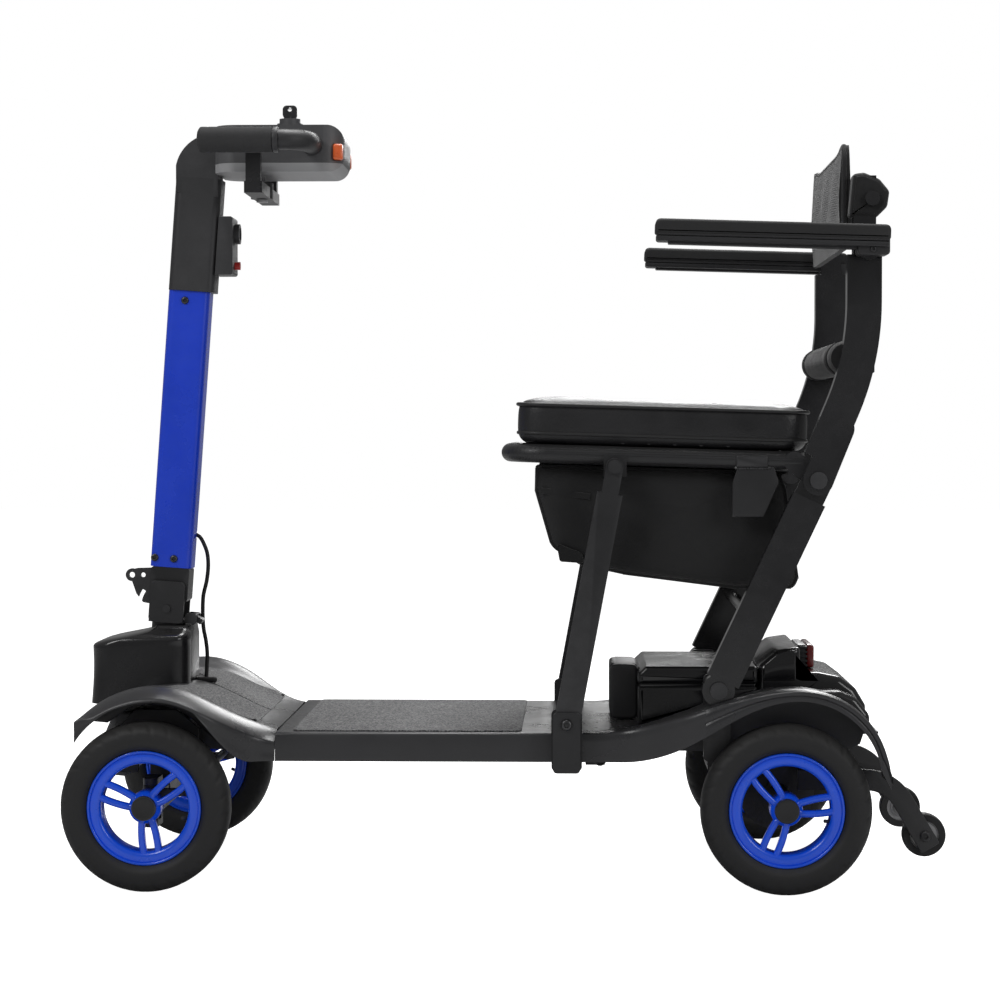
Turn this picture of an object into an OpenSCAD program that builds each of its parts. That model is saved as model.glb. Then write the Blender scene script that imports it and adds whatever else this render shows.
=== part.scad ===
// Folding four-wheel mobility scooter. All sizes in millimetres.
// Front is -X, the rider's left is -Y, up is +Z, and the ground is Z = 0.

/* [Node] */
// Which piece to draw, or all of them

/* [Wheels] */
// Outside diameter of every road tyre
tyre_d = 200; // [180:1:230]
// Tyre width
tyre_w = 50; // [35:1:60]
// Diameter where the tyre meets the rim
rim_d = 133; // [110:1:150]
// Radial depth of the rim ring
rim_depth = 13; // [8:0.5:20]
// Rim width
rim_w = 36; // [25:1:44]
// Spoke disc thickness
spoke_t = 8; // [5:0.5:12]
// Outside width of one looped spoke
spoke_w = 25; // [18:1:32]
// Bar width of a looped spoke
spoke_bar = 6.5; // [4:0.5:9]
// Hub cap diameter
cap_d = 28; // [20:1:36]
// Distance between the front and rear axles
wheelbase = 749; // [650:1:850]
// Front axle position
front_axle_x = -423; // [-480:1:-380]
// Distance between the left and right wheel centres
track = 410; // [380:1:460]

/* [Deck] */
// Deck width
deck_w = 368; // [320:1:376]
// Deck top height
deck_z = 185; // [170:1:200]
// Height of the deck skirts
skirt_h = 34; // [25:1:45]
// Panel wall thickness
wall = 4; // [2:0.5:6]
// Joint between the front section and the middle deck
joint_front_x = -274.6; // [-300:1:-250]
// Joint between the middle deck and the rear deck
joint_rear_x = 57.2; // [30:1:80]
// Mat thickness
mat_t = 1.8; // [1:0.2:4]
// Width of the middle mat
mat_w = 344; // [250:2:350]

/* [Fenders] */
// Full width over the fenders
fender_w = 458; // [430:1:480]
// Height of the front fender crest
front_crest_z = 241; // [225:1:260]
// Height of the rear fender crest
rear_crest_z = 242; // [225:1:260]
// Lip depth at the crest
lip_h = 14; // [8:1:24]
// Nose position of the front fenders
nose_x = -504; // [-520:1:-490]
// Tail position of the rear fenders
tail_x = 446; // [430:1:455]

/* [Steering] */
// Lean of the steering column, degrees
lean = 4.1; // [0:0.1:8]
// Height of the folding pivot
pivot_z = 320; // [300:1:340]
// Folding pivot position
pivot_x = -427.1; // [-440:1:-410]
// Kingpin distance from the middle
kingpin_y = 172; // [168:0.5:174]
// Steering arm length
steer_arm = 45; // [30:1:60]
// Stem radius
stem_r = 16; // [12:0.5:20]

/* [Tiller] */
// Blue tube depth, front to back
tube_depth = 51.4; // [40:0.2:60]
// Blue tube width
tube_w = 42; // [32:1:50]
// Blue tube length
tube_len = 344; // [280:1:400]
// Tube wall
tube_wall = 3; // [2:0.5:5]
// Console width
console_w = 124; // [100:2:160]
// Console underside height
console_z = 857; // [840:1:880]
// Console height
console_h = 57; // [45:1:70]
// Rear end of the console
console_x = -203; // [-230:1:-190]
// Seam between the casing head and the console
console_seam_x = -362; // [-370:1:-350]
// Grip spacing, middle to middle
grip_span = 250; // [220:2:320]
// Grip diameter
grip_d = 31; // [26:0.5:36]
// Handlebar tube diameter
bar_d = 25; // [20:0.5:28]
// Grip height
grip_z = 889; // [880:1:900]

/* [Seat] */
// Front leg foot pivot
leg_x = 70.5; // [50:0.5:90]
// Front leg foot pivot height
leg_z = 198; // [185:0.5:215]
// Front leg top, along
leg_top_x = 126.5; // [110:0.5:140]
// Front leg top, height
leg_top_z = 499; // [480:0.5:510]
// Seat rear hinge, along
hinge_x = 362.5; // [350:0.5:375]
// Seat rear hinge, height
hinge_z = 483; // [470:0.5:495]
// Rear link foot pivot
link_x = 247.5; // [235:0.5:260]
// Rear link foot pivot height
link_z = 238; // [230:0.5:250]
// Inner face of the side bars from the middle
bar_in = 186; // [180:1:200]
// Side bar thickness
bar_t = 20; // [14:1:26]
// Side bar depth
bar_depth = 40; // [30:1:50]
// Front leg tube depth
leg_depth = 30; // [24:1:36]
// Pin radius of the seat hinges
pin_r = 6; // [4:0.5:8]
// Seat tube diameter
seat_tube_d = 22; // [18:1:28]
// Seat slope, degrees
seat_slope = 1.7; // [0:0.1:5]
// Cushion thickness
cushion_h = 58; // [40:1:80]
// Cushion length
cushion_len = 346; // [300:2:360]

/* [Backrest] */
// Arm length of the armrest pads
arm_len = 269; // [220:1:300]
// Armrest pad width
arm_w = 40; // [30:1:50]
// Armrest pad thickness
arm_h = 26; // [18:1:34]
// Gap between the side bar and the armrest pad
arm_gap = 10; // [9:0.5:14]
// Backrest cover height
cover_h = 122; // [100:1:160]
// Lumbar roll diameter
roll_d = 40; // [30:1:50]

/* [Battery] */
// Battery case length
batt_len = 145; // [120:1:146]
// Battery case width
batt_w = 216; // [160:2:260]
// Battery case height
batt_h = 72; // [50:1:80]

/* [Clearances] */
// Radial clearance of a running fit
run_fit = 0.05; // [0.01:0.01:0.1]
// Gap between pieces that pass each other
gap = 0.4; // [0.3:0.1:1]
// Gap between fixed pieces that sit together
seat_gap = 0.2; // [0.1:0.1:0.5]

/* [Hidden] */
$fn = 64;
tyre_r = tyre_d / 2;
rim_r = rim_d / 2;
axle_z = tyre_r;
rear_axle_x = front_axle_x + wheelbase;
wheel_y = track / 2;
deck_hw = deck_w / 2;
skirt_z = deck_z - skirt_h;
fender_hw = fender_w / 2;
front_crest_x = front_axle_x + 12;
rear_crest_x = rear_axle_x + 14;
arch_y = 132;
body_y = 146;
tip_x = 498;
tip_z = 57;
tip_r = 26;
tip_y = 104;
tip_w = 20;
rail_y = 80;
rail_w = 25;
rail_top = deck_z - wall;
rail_h = 26;
pin_bore = pin_r + run_fit;
bar_out = bar_in + bar_t;
bar_mid = bar_in + bar_t / 2;
axle_r = 8;
axle_bore = axle_r + run_fit;
king_r = 5;
nose_r = front_crest_z - 113;
tail_r = 106;
base_z1 = 51.1;
tube_top = base_z1 + tube_len;
arm_x1 = 440.5;
arm_pivot = [420, 752];
column_w = tube_w + 6;

// ---- Helpers ----

// Places a flat X-Z drawing as a slab between two Y values.
module slab(y0, y1) {
  translate([0, y1, 0]) rotate([90, 0, 0]) linear_extrude(y1 - y0) children();
}

// Repeats a piece on the left and the right.
module sides() {
  children();
  mirror([0, 1, 0]) children();
}

// A round rod along Y.
module rod_y(x, z, y0, y1, r) {
  translate([x, y0, z]) rotate([-90, 0, 0]) cylinder(h = y1 - y0, r = r);
}

// A flat bar with round ends between two points.
module bar2(a, b, w) {
  d = b - a;
  translate(a) rotate(atan2(d[1], d[0])) translate([0, -w / 2]) square([norm(d), w]);
  translate(a) circle(w / 2);
  translate(b) circle(w / 2);
}

// A rectangle with round corners.
module rsq(x0, y0, x1, y1, r) {
  translate([x0 + r, y0]) square([x1 - x0 - 2 * r, y1 - y0]);
  translate([x0, y0 + r]) square([x1 - x0, y1 - y0 - 2 * r]);
  for (x = [x0 + r, x1 - r], y = [y0 + r, y1 - r]) translate([x, y]) circle(r);
}

// A box given by its two corners.
module box(a, b) {
  translate(a) cube(b - a);
}

// Puts a piece in the leaning steering frame, whose origin is the folding pivot.
module leaning() {
  translate([pivot_x, 0, pivot_z]) rotate([0, lean, 0]) children();
}

// Puts a piece in the sloping seat frame, whose origin is the rear hinge.
module seated() {
  translate([hinge_x, 0, hinge_z]) rotate([0, seat_slope, 0]) children();
}

function ease(t) = 0.5 - 0.5 * cos(180 * max(0, min(1, t)));
function round_at(x, cx, cz, r) = cz + sqrt(max(0, r * r - (x - cx) * (x - cx)));
function front_top(x) = x < front_crest_x
  ? round_at(x, front_crest_x, front_crest_z - nose_r, nose_r)
  : front_crest_z - (front_crest_z - deck_z) * ease((x - front_crest_x) / 150);
function front_low(x) = x < front_crest_x
  ? round_at(x, front_crest_x, front_crest_z - lip_h - nose_r + 18, nose_r - 18)
  : front_crest_z - lip_h
    - (front_crest_z - lip_h - skirt_z) * ease((x - front_crest_x - 21) / 90);
function front_half(x) = fender_hw - (fender_hw - deck_hw) * ease((x + 365) / 88);
function rear_top(x) = x > rear_crest_x
  ? round_at(x, rear_crest_x, rear_crest_z - tail_r, tail_r)
  : rear_crest_z - (rear_crest_z - deck_z) * ease((rear_crest_x - x) / 240);
function rear_low(x) = x > rear_crest_x
  ? round_at(x, rear_crest_x, rear_crest_z - lip_h - tail_r + 10, tail_r - 10)
  : rear_crest_z - lip_h
    - (rear_crest_z - lip_h - skirt_z) * ease((rear_crest_x - x) / 205);
function rear_half(x) = deck_hw + (fender_hw - deck_hw) * ease((x - 130) / 110);
function steps(a, b, n) = [for (i = [0 : n]) a + (b - a) * i / n];

front_xs = concat(steps(nose_x, front_crest_x, 12), steps(front_crest_x + 12, joint_front_x, 11));
rear_xs = concat(steps(joint_rear_x + 40, rear_crest_x, 14), steps(rear_crest_x + 10, tail_x - 10, 9),
  [tail_x]);
tail_low_x = rear_crest_x + tail_r - 11;

// The space between two height curves of the front section, drawn in X-Z.
module front_band(drop, low) {
  polygon(concat([for (x = front_xs) [x, front_top(x) - drop]],
    [for (i = [len(front_xs) - 1 : -1 : 0]) let (x = front_xs[i])
      [x, low > 0 ? front_top(x) - low : min(front_top(x) - 2, front_low(x))]]));
}

// Plan shape of the front section, from the middle out to an inset edge.
module front_plan(inset) {
  polygon(concat([for (x = front_xs) [x, front_half(x) - inset]],
    [for (i = [len(front_xs) - 1 : -1 : 0]) [front_xs[i], -front_half(front_xs[i]) + inset]]));
}

function clip_low(x) = rear_low(min(x, tail_low_x)) - 1.7 * max(0, x - tail_low_x);

// The space between two height curves of the rear fenders, drawn in X-Z.
module rear_band(low) {
  polygon(concat([for (x = rear_xs) [x, rear_top(x)]],
    [for (i = [len(rear_xs) - 1 : -1 : 0]) let (x = rear_xs[i])
      [x, low > 0 ? rear_top(x) - low : min(rear_top(x) - 3, clip_low(x))]]));
}

// Plan shape of the rear section, from the middle out to an inset edge.
module rear_plan(inset) {
  polygon(concat([for (x = rear_xs) [x, rear_half(x) - inset]],
    [for (i = [len(rear_xs) - 1 : -1 : 0]) [rear_xs[i], -rear_half(rear_xs[i]) + inset]]));
}

// ---- Chassis ----

// Two rails, cross members, the front axle beam with its kingpin ears, and the rear plate.
module frame() {
  color("dimgray") {
    difference() {
      union() {
        sides() {
          box([-478, rail_y, rail_top - rail_h], [404, rail_y + rail_w, rail_top]);
          box([front_axle_x - 12, rail_y, axle_z], [front_axle_x + 12, rail_y + rail_w, rail_top - 10]);
          box([front_axle_x - 9, 140, axle_z - 29], [front_axle_x + 9, 151, axle_z + 29]);
          for (z = [axle_z - 29, axle_z + 21]) {
            box([front_axle_x - 9, 149, z], [front_axle_x + 9, kingpin_y, z + 8]);
            translate([front_axle_x, kingpin_y, z]) cylinder(h = 8, r = 9);
          }
        }
        box([front_axle_x - 11, -145, axle_z - 12], [front_axle_x + 11, 145, axle_z + 12]);
        for (x = [-478, -330, 90, 380]) {
          box([x, -rail_y - 2, rail_top - rail_h + 2], [x + 24, rail_y + 2, rail_top - 2]);
        }
        box([-466, -rail_y - 2, rail_top - rail_h + 2], [-406, rail_y + 2, rail_top - 2]);
      }
      sides() translate([front_axle_x, kingpin_y, axle_z - 40]) cylinder(h = 80, r = king_r + run_fit);
      leaning() translate([0, 0, -220]) cylinder(h = 140, r = stem_r + 6 + seat_gap);
    }
  }
}

// Front moulding with both fenders, inner wheel walls and the column hole.
module front_cover() {
  color("gray") difference() {
    union() {
      intersection() {
        slab(-fender_hw - 5, fender_hw + 5) front_band(0, wall);
        translate([0, 0, 100]) linear_extrude(200) front_plan(0);
      }
      intersection() {
        slab(-fender_hw - 5, fender_hw + 5) front_band(0, 0);
        translate([0, 0, 100]) linear_extrude(200) difference() {
          front_plan(0);
          front_plan(wall);
          translate([nose_x - 9, -arch_y]) square([60, 2 * arch_y]);
        }
      }
      sides() intersection() {
        slab(arch_y, arch_y + wall) polygon(concat(
          [for (x = front_xs) if (x < -298) [x, front_top(x) - 1]], [[-300, skirt_z], [-470, skirt_z],
          [nose_x, front_top(nose_x) - 22]]));
        box([nose_x, 0, 100], [-290, 200, 300]);
      }
      box([joint_front_x - wall, -deck_hw + 1, skirt_z + 4], [joint_front_x, -rail_y - rail_w - 1, deck_z - 1]);
      box([joint_front_x - wall, rail_y + rail_w + 1, skirt_z + 4], [joint_front_x, deck_hw - 1, deck_z - 1]);
    }
    leaning() translate([0, 0, -160]) cylinder(h = 150, r = stem_r + 6 + gap);
    sides() translate([-384, 14, 200]) cylinder(h = 60, r = 3.4);
  }
}

// Grip mats on the front slopes and on the middle deck.
module deck_mats() {
  color([0.25, 0.25, 0.26]) {
    sides() intersection() {
      slab(3, 150) translate([0, mat_t]) front_band(0, mat_t);
      box([-368, 3, 150], [-286, 150, 300]);
    }
    translate([0, 0, deck_z]) linear_extrude(mat_t) rsq(-254, -mat_w / 2, 17, mat_w / 2, 10);
  }
}

// Middle deck panel with its side skirts.
module deck_mid() {
  color("gray") {
    difference() {
      box([joint_front_x + seat_gap, -deck_hw, skirt_z], [joint_rear_x - seat_gap, deck_hw, deck_z]);
      box([joint_front_x - 1, -deck_hw + wall, skirt_z - 1], [joint_rear_x + 1, deck_hw - wall, deck_z - wall]);
    }
  }
}

// Rear deck panel, its skirts rising into the rear fenders, and the inner wheel walls.
module deck_rear() {
  color("gray") difference() {
    union() {
      box([joint_rear_x, -deck_hw, deck_z - wall], [222, deck_hw, deck_z]);
      box([220, -body_y - wall, deck_z - wall], [431, body_y + wall, deck_z]);
      sides() {
        box([joint_rear_x, deck_hw - wall, skirt_z], [joint_rear_x + 52, deck_hw, deck_z]);
        box([222, body_y, skirt_z], [431, body_y + wall, deck_z]);
        box([222, body_y, skirt_z], [226, deck_hw - 8, deck_z]);
        intersection() {
          slab(body_y, body_y + wall) polygon(concat([for (x = rear_xs) if (x > 150 && x < 435)
            [x, rear_top(x) - 1]], [[434, deck_z - 1], [152, deck_z - 1]]));
          box([150, 0, 150], [431, 200, 300]);
        }
      }
      intersection() {
        slab(-fender_hw - 5, fender_hw + 5) rear_band(wall);
        translate([0, 0, 100]) linear_extrude(200) difference() {
          rear_plan(0);
          translate([0, -body_y]) square([500, 2 * body_y]);
        }
      }
      intersection() {
        slab(-fender_hw - 5, fender_hw + 5) rear_band(0);
        translate([0, 0, 100]) linear_extrude(200) difference() {
          rear_plan(0);
          rear_plan(wall);
          translate([300, -body_y]) square([200, 2 * body_y]);
        }
      }
    }
    sides() box([link_x - 16 - gap, 164 - gap, 140], [link_x + 16 + gap, 172 + gap, 300]);
    sides() box([link_x - 13 - gap, rail_y, 140], [link_x + 13 + gap, 168, rail_top]);
    sides() rod_y(link_x, link_z, 171, 240, 21);
    sides() box([link_x - 40, bar_in - 1.5, link_z - 21], [link_x + 40, bar_out + 1.5, 300]);
  }
}

// Hood over the steering head.
module shroud() {
  top = 299.5;
  color("darkslategray") difference() {
    slab(-60, 60) shroud_side(0, top);
    slab(-57, 57) shroud_side(3, top - 3);
    leaning() translate([0, 0, -60]) cylinder(h = 60, r = stem_r + 6 + gap);
  }
}

module shroud_side(inset, top) {
  xs = steps(nose_x + 1 + inset, -395 - inset, 8);
  polygon(concat([[-520 + inset, 203 + inset * 0.3], [-522 + inset, 272], [-516 + inset, 281 - inset],
    [-500, 286 - inset], [-466, 293 - inset], [-448, top - 0.5], [-400 - inset, top],
    [-395 - inset, front_top(-395) + 2]],
    [for (i = [8 : -1 : 0]) [xs[i], front_top(xs[i]) + seat_gap - (inset > 0 ? 6 : 0)]]));
}

// Raised cover behind the battery.
module rear_cover() {
  color("black") difference() {
    union() {
      slab(-104, 104) rear_hump(0);
      slab(-body_y + seat_gap, body_y - seat_gap) rear_shoulder(0);
    }
    slab(-104 + wall, 104 - wall) rear_hump(wall);
    slab(-body_y + seat_gap + wall, body_y - seat_gap - wall) rear_shoulder(wall);
  }
}

module rear_hump(w) {
  polygon([[300.6 + w, deck_z - 1 + (w > 0 ? -2 : 1)], [300.6 + w, 258 - w], [324, 277 - w], [351.6 - w, 281 - w],
    [351.6 - w, 250 - w], [374, 250 - w], [399, 245 - w], [418 - w, 231 - w], [430.6 - w, 210 - w],
    [430.6 - w, deck_z - 1 + (w > 0 ? -2 : 1)]]);
}

module rear_shoulder(w) {
  polygon([[300.6 + w, deck_z - (w > 0 ? 3 : 0)], [300.6 + w, 232 - w], [396, 232 - w], [414 - w, 224 - w],
    [430.6 - w, 203 - w], [430.6 - w, deck_z - (w > 0 ? 3 : 0)]]);
}

// Tail lamp at the back of the hump.
module tail_lamp() {
  color("darkred") slab(-46, 46) rsq(351.6 + seat_gap, 250 + seat_gap, 373, 279, 4);
}

// Forks for the front legs and posts for the rear links.
module seat_brackets() {
  color("black") sides() {
    difference() {
      union() {
        slab(deck_hw + 0.3, bar_in + 1.4) rsq(leg_x - 18, skirt_z - 10, leg_x + 18, leg_z + 15, 5);
        slab(bar_out + gap, bar_out + gap + 4) rsq(leg_x - 16, skirt_z - 10, leg_x + 16, leg_z + 14, 5);
        box([leg_x - 14, deck_hw + 0.3, skirt_z - 10], [leg_x + 14, bar_out + 2, skirt_z - 3]);
        box([leg_x - 14, 60, skirt_z - 10], [leg_x + 14, deck_hw + 2, skirt_z - 3]);
      }
      box([leg_x - 30, bar_in + 1.6, skirt_z - 3], [leg_x + 30, bar_out + gap, 300]);
    }
    rod_y(leg_x, leg_z, deck_hw + 1, bar_out + gap + 7, pin_r);
    slab(164, 172) difference() {
      rsq(link_x - 16, skirt_z, link_x + 16, link_z + 16, 6);
      translate([link_x, link_z - 40]) circle(5);
    }
    box([link_x - 12, rail_y + rail_w, rail_top - rail_h + 2], [link_x + 12, 166, rail_top - 3]);
    rod_y(link_x, link_z, 170, bar_in - gap, 13);
    rod_y(link_x, link_z, 170, bar_out + 5, pin_r);
    rod_y(link_x, link_z, bar_out + gap, bar_out + 6, 10);
  }
}

// Folding latch under the deck with its ring pin.
module deck_latch() {
  color("black") {
    box([58, -58, skirt_z - 10], [138, 58, skirt_z - 4]);
    box([93, -40, skirt_z - 22], [117, 40, skirt_z - 10]);
    for (y = [-40, 40]) box([60, y - 6, skirt_z - 4], [136, y + 6, rail_top - 26]);
    rod_y(111, skirt_z - 14, -52, -40, 3);
    translate([111, -54, skirt_z - 14]) rotate([90, 0, 0]) rotate_extrude() translate([6, 0]) circle(1.5);
  }
}

// Motor, gear housing and rear axle tubes.
module transaxle() {
  color("gray") difference() {
    union() {
      rod_y(rear_axle_x, axle_z, -62, 62, 46);
      rod_y(rear_axle_x, axle_z, -170, 170, 15);
      rod_y(rear_axle_x - 52, axle_z + 22, 20, 120, 28);
      box([rear_axle_x - 70, -40, axle_z - 4], [rear_axle_x, 40, axle_z + 36]);
      for (y = [-rail_y - rail_w + 1, rail_y + 1]) {
        box([rear_axle_x - 11, y, axle_z], [rear_axle_x + 11, y + rail_w - 2, rail_top - rail_h]);
      }
    }
    rod_y(rear_axle_x, axle_z, -171, -110, axle_bore);
    rod_y(rear_axle_x, axle_z, 110, 171, axle_bore);
  }
}

// Curved arms that carry the anti-tip wheels.
module antitip_arms() {
  turn = 59.5;
  bow = [tip_x - 70, tip_z + 17];
  bow_r = 50;
  half = 12.5;
  run = 69 * [cos(turn), -sin(turn)];
  color("black") sides() {
    slab(tip_y + tip_w + gap, tip_y + tip_w + 7) polygon(concat([[345, bow[1] + bow_r + half]],
      [for (a = steps(90, 90 - turn, 10)) bow + (bow_r + half) * [cos(a), sin(a)]],
      [bow + (bow_r + half) * [sin(turn), cos(turn)] + run, bow + (bow_r - half) * [sin(turn), cos(turn)] + run],
      [for (a = steps(90 - turn, 90, 10)) bow + (bow_r - half) * [cos(a), sin(a)]],
      [[345, bow[1] + bow_r - half]]));
    box([352, rail_y + 2, 117], [392, tip_y + tip_w + 3, 131]);
    box([352, rail_y + 2, 128], [392, rail_y + rail_w - 2, rail_top - rail_h]);
    rod_y(tip_x, tip_z, tip_y - 4, tip_y + tip_w + 4, 4);
    rod_y(tip_x, tip_z, tip_y - 4, tip_y - gap, 7);
    rod_y(tip_x, tip_z, tip_y + tip_w + 6, tip_y + tip_w + 11, 7);
  }
}

// Head tube that carries the steering stem.
module head_tube() {
  color("dimgray") leaning() difference() {
    translate([0, 0, -166]) cylinder(h = 132, r = stem_r + 6);
    translate([0, 0, -167]) cylinder(h = 134, r = stem_r + run_fit);
  }
}

// ---- Battery ----

batt_x0 = 300.6 - batt_len - gap;

module battery_case() {
  z0 = deck_z + gap;
  color("black") difference() {
    slab(-batt_w / 2, batt_w / 2) polygon([[batt_x0, z0], [batt_x0, z0 + batt_h - 9],
      [batt_x0 + 9, z0 + batt_h], [batt_x0 + batt_len, z0 + batt_h], [batt_x0 + batt_len, z0]]);
    sides() box([batt_x0 + 12, batt_w / 2 - 2, z0 + 8], [batt_x0 + batt_len - 12, batt_w / 2 + 1, z0 + 44]);
  }
}

// Carrying handle at the front of the battery.
module battery_handle() {
  z0 = deck_z + gap;
  color("black") {
    difference() {
      slab(-56, 56) rsq(batt_x0 - 33, z0 + 2, batt_x0, z0 + batt_h - 2, 9);
      slab(-42, 42) rsq(batt_x0 - 20, z0 - 12, batt_x0 - 1 + 20, z0 + batt_h - 18, 5);
      slab(-42, 42) rsq(batt_x0 - 50, z0 - 20, batt_x0 - 5, z0 + batt_h - 34, 5);
    }
  }
}

// ---- Steering ----

module steer_yoke() {
  color("black") {
    leaning() difference() {
      union() {
        sides() slab(tube_w / 2 + 0.1 + gap, tube_w / 2 + 6.5) rsq(-22, -17.5, 21, 34, 6);
        box([-22, -tube_w / 2 - 3, -17.5], [21, tube_w / 2 + 3, -12.6]);
        translate([0, 0, -189]) cylinder(h = 172, r = stem_r);
        translate([0, 0, -33.6]) cylinder(h = 16.5, r = stem_r + 5);
        box([19, -17, -17.5], [28.4, 17, -13.5]);
        sides() slab(12.5, 17) rsq(22, -17.5, 37, -5, 3);
      }
      sides() slab(-1, 12.1) rsq(24, -12, 60, 20, 2);
    }
    leaning() rod_y(0, 0, -tube_w / 2 - 9, tube_w / 2 + 9, pin_r - 1);
    leaning() rod_y(33, -9.5, -17, 17, 2.5);
    leaning() box([0, -8, -188.4], [steer_arm + 16, 8, -183]);
  }
}

module fold_plate() {
  color("black") leaning() slab(-2.5, 2.5) difference() {
    union() {
      polygon([[-24, 12], [-24, 48], [-44, 46], [-56, 42], [-49, 28], [-43, 14], [-34, 4], [-27, 3]]);
      translate([-50, 37]) circle(8);
    }
    translate([-50, 37]) circle(3.6);
    translate([-36, 38]) circle(3);
    intersection() {
      difference() {
        circle(41);
        circle(36);
      }
      rotate(150) square([60, 19]);
    }
  }
}

// ---- Tiller ----

// Cast block at the foot of the tube, with the folding bore and a spigot.
module tiller_base() {
  color("black") leaning() difference() {
    union() {
      slab(-tube_w / 2 + 0.1, tube_w / 2 - 0.1) {
        circle(12.1);
        translate([-9, 0]) square([18, 12]);
        rsq(-24, 9, 24, base_z1 - seat_gap, 4);
      }
      translate([0, 0, base_z1 - 6]) linear_extrude(42) rsq(-tube_depth / 2 + tube_wall + seat_gap,
        -tube_w / 2 + tube_wall + seat_gap, tube_depth / 2 - tube_wall - seat_gap,
        tube_w / 2 - tube_wall - seat_gap, 5);
    }
    rod_y(0, 0, -40, 40, pin_r - 1 + run_fit);
    box([-40, -3, -20], [-24 + 0.01, 3, 60]);
  }
}

module tiller_tube() {
  color([0.04, 0.15, 0.75]) leaning() translate([0, 0, base_z1]) difference() {
    linear_extrude(tube_len) rsq(-tube_depth / 2, -tube_w / 2, tube_depth / 2, tube_w / 2, 8);
    translate([0, 0, -1]) linear_extrude(tube_len + 2) rsq(-tube_depth / 2 + tube_wall,
      -tube_w / 2 + tube_wall, tube_depth / 2 - tube_wall, tube_w / 2 - tube_wall, 5);
    translate([10, cable_y, 92 - base_z1]) rotate([0, 90, 0]) cylinder(h = 30, r = 2 * cable_r);
  }
}

// Upper column moulding with the rounded head.
module tiller_casing() {
  head_z = console_z + console_h - 6;
  color("black") {
    leaning() translate([0, 0, tube_top + seat_gap]) linear_extrude(console_z - 4 - pivot_z - tube_top + 2)
      rsq(-26, -column_w / 2, 31, column_w / 2, 9);
    slab(-column_w / 2, column_w / 2) intersection() {
      union() {
        translate([-366, console_z + 2]) circle(head_z - console_z - 2);
        polygon([[-414, 836], [-366, 836], [console_seam_x - seat_gap, 836],
          [console_seam_x - seat_gap, head_z], [-366, head_z], [-414, console_z + 2]]);
      }
      translate([-414, 830]) square([414 + console_seam_x - seat_gap, 100]);
    }
  }
}

console_split = console_z + 11;

module console_side(w, z0, z1) {
  rsq(console_seam_x + w, console_z + w, console_x - w, console_z + console_h - w, 20);
}

module console_plan(w) {
  rsq(console_seam_x + w, -console_w / 2 + w, console_x - w, console_w / 2 - w, 26);
}

module console_body(w) {
  intersection() {
    slab(-console_w, console_w) {
      console_side(w);
      translate([console_seam_x + w, console_z + w]) square([80, console_h - 2 * w]);
    }
    translate([0, 0, console_z - 1]) linear_extrude(console_h + 2) {
      console_plan(w);
      translate([console_seam_x + w, -console_w / 2 + 18 + w]) square([40, console_w - 36 - 2 * w]);
    }
  }
}

key_x = -275;
button_x = -245;

// Top shell of the console with the key barrel.
module console_upper() {
  top = console_z + console_h;
  color("black") difference() {
    union() {
      intersection() {
        console_body(0);
        box([-400, -100, console_split], [-190, 100, top + 5]);
      }
      translate([key_x, 0, top - 8]) cylinder(h = 22, r = 13);
      translate([key_x, 0, top - 8]) cylinder(h = 16, r = 16);
    }
    difference() {
      intersection() {
        console_body(3);
        box([-400, -100, console_z], [-190, 100, top + 5]);
      }
      translate([key_x, 0, top - 16]) cylinder(h = 30, r = 14);
      translate([button_x, 0, top - 16]) cylinder(h = 30, r = 9);
    }
    sides() box([-216 - seat_gap, console_w / 2 - 12, console_z + 14 - seat_gap],
      [console_x + 5, console_w / 2 + 3, console_z + 34 + seat_gap]);
    translate([key_x, 0, top - 14]) cylinder(h = 40, r = 3 + run_fit);
    translate([button_x, 0, top - 9]) cylinder(h = 30, r = 6 + gap);
  }
}

lever_x = -310;

// Bottom tray of the console with the lever pin.
module console_lower() {
  color("lightgray") {
    difference() {
      intersection() {
        console_body(0);
        box([-400, -100, console_z - 1], [-190, 100, console_split - seat_gap]);
      }
      intersection() {
        console_body(3);
        box([-400, -100, console_z + 3], [-190, 100, 900]);
      }
    }
    translate([lever_x, 0, console_z - 29]) cylinder(h = 30, r = 4);
    translate([lever_x, 0, console_z - 32]) cylinder(h = 3.2, r = 7);
  }
}

// Both handle tubes, each with a bend.
module handlebar() {
  color("black") sides() handle_path(bar_d / 2, 0, grip_end_x + 4);
}

grip_end_x = -373;
bend_r = 34;
handle_x = -241;

module handle_path(r, r_in, x_end) {
  y1 = grip_span / 2 - bend_r;
  if (r_in == 0) rod_y(handle_x, grip_z, console_w / 2, y1, r);
  translate([handle_x - bend_r, y1, grip_z]) rotate_extrude(angle = 90) translate([bend_r, 0]) difference() {
    circle(r);
    if (r_in > 0) circle(r_in);
  }
  translate([x_end, grip_span / 2, grip_z]) rotate([0, 90, 0]) difference() {
    cylinder(h = handle_x - bend_r - x_end, r = r);
    if (r_in > 0) translate([0, 0, -1]) cylinder(h = handle_x - bend_r - x_end + 2, r = r_in);
  }
}

module grips() {
  color([0.1, 0.1, 0.1]) sides() {
    handle_path(grip_d / 2, bar_d / 2 + 0.05, grip_end_x + 2);
    translate([grip_end_x, grip_span / 2, grip_z]) rotate([0, 90, 0]) cylinder(h = 2.1, r = grip_d / 2);
  }
}

// Charging box with its port ring and rear plate.
module charge_box() {
  color("dimgray") difference() {
    union() {
      intersection() {
        slab(-24, 24) rsq(-380, 734, -344, 806, 3);
        leaning() box([31 + seat_gap, -30, 380], [90, 30, 520]);
      }
      translate([-345, 0, 785.5]) rotate([0, 90, 0]) cylinder(h = 7.5, r = 12.5);
    }
    translate([-346, 0, 785.5]) rotate([0, 90, 0]) cylinder(h = 20, r = 8.5);
    translate([-352, 0, 746]) rotate([0, 90, 0]) cylinder(h = 20, r = 5 + gap);
  }
}

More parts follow.
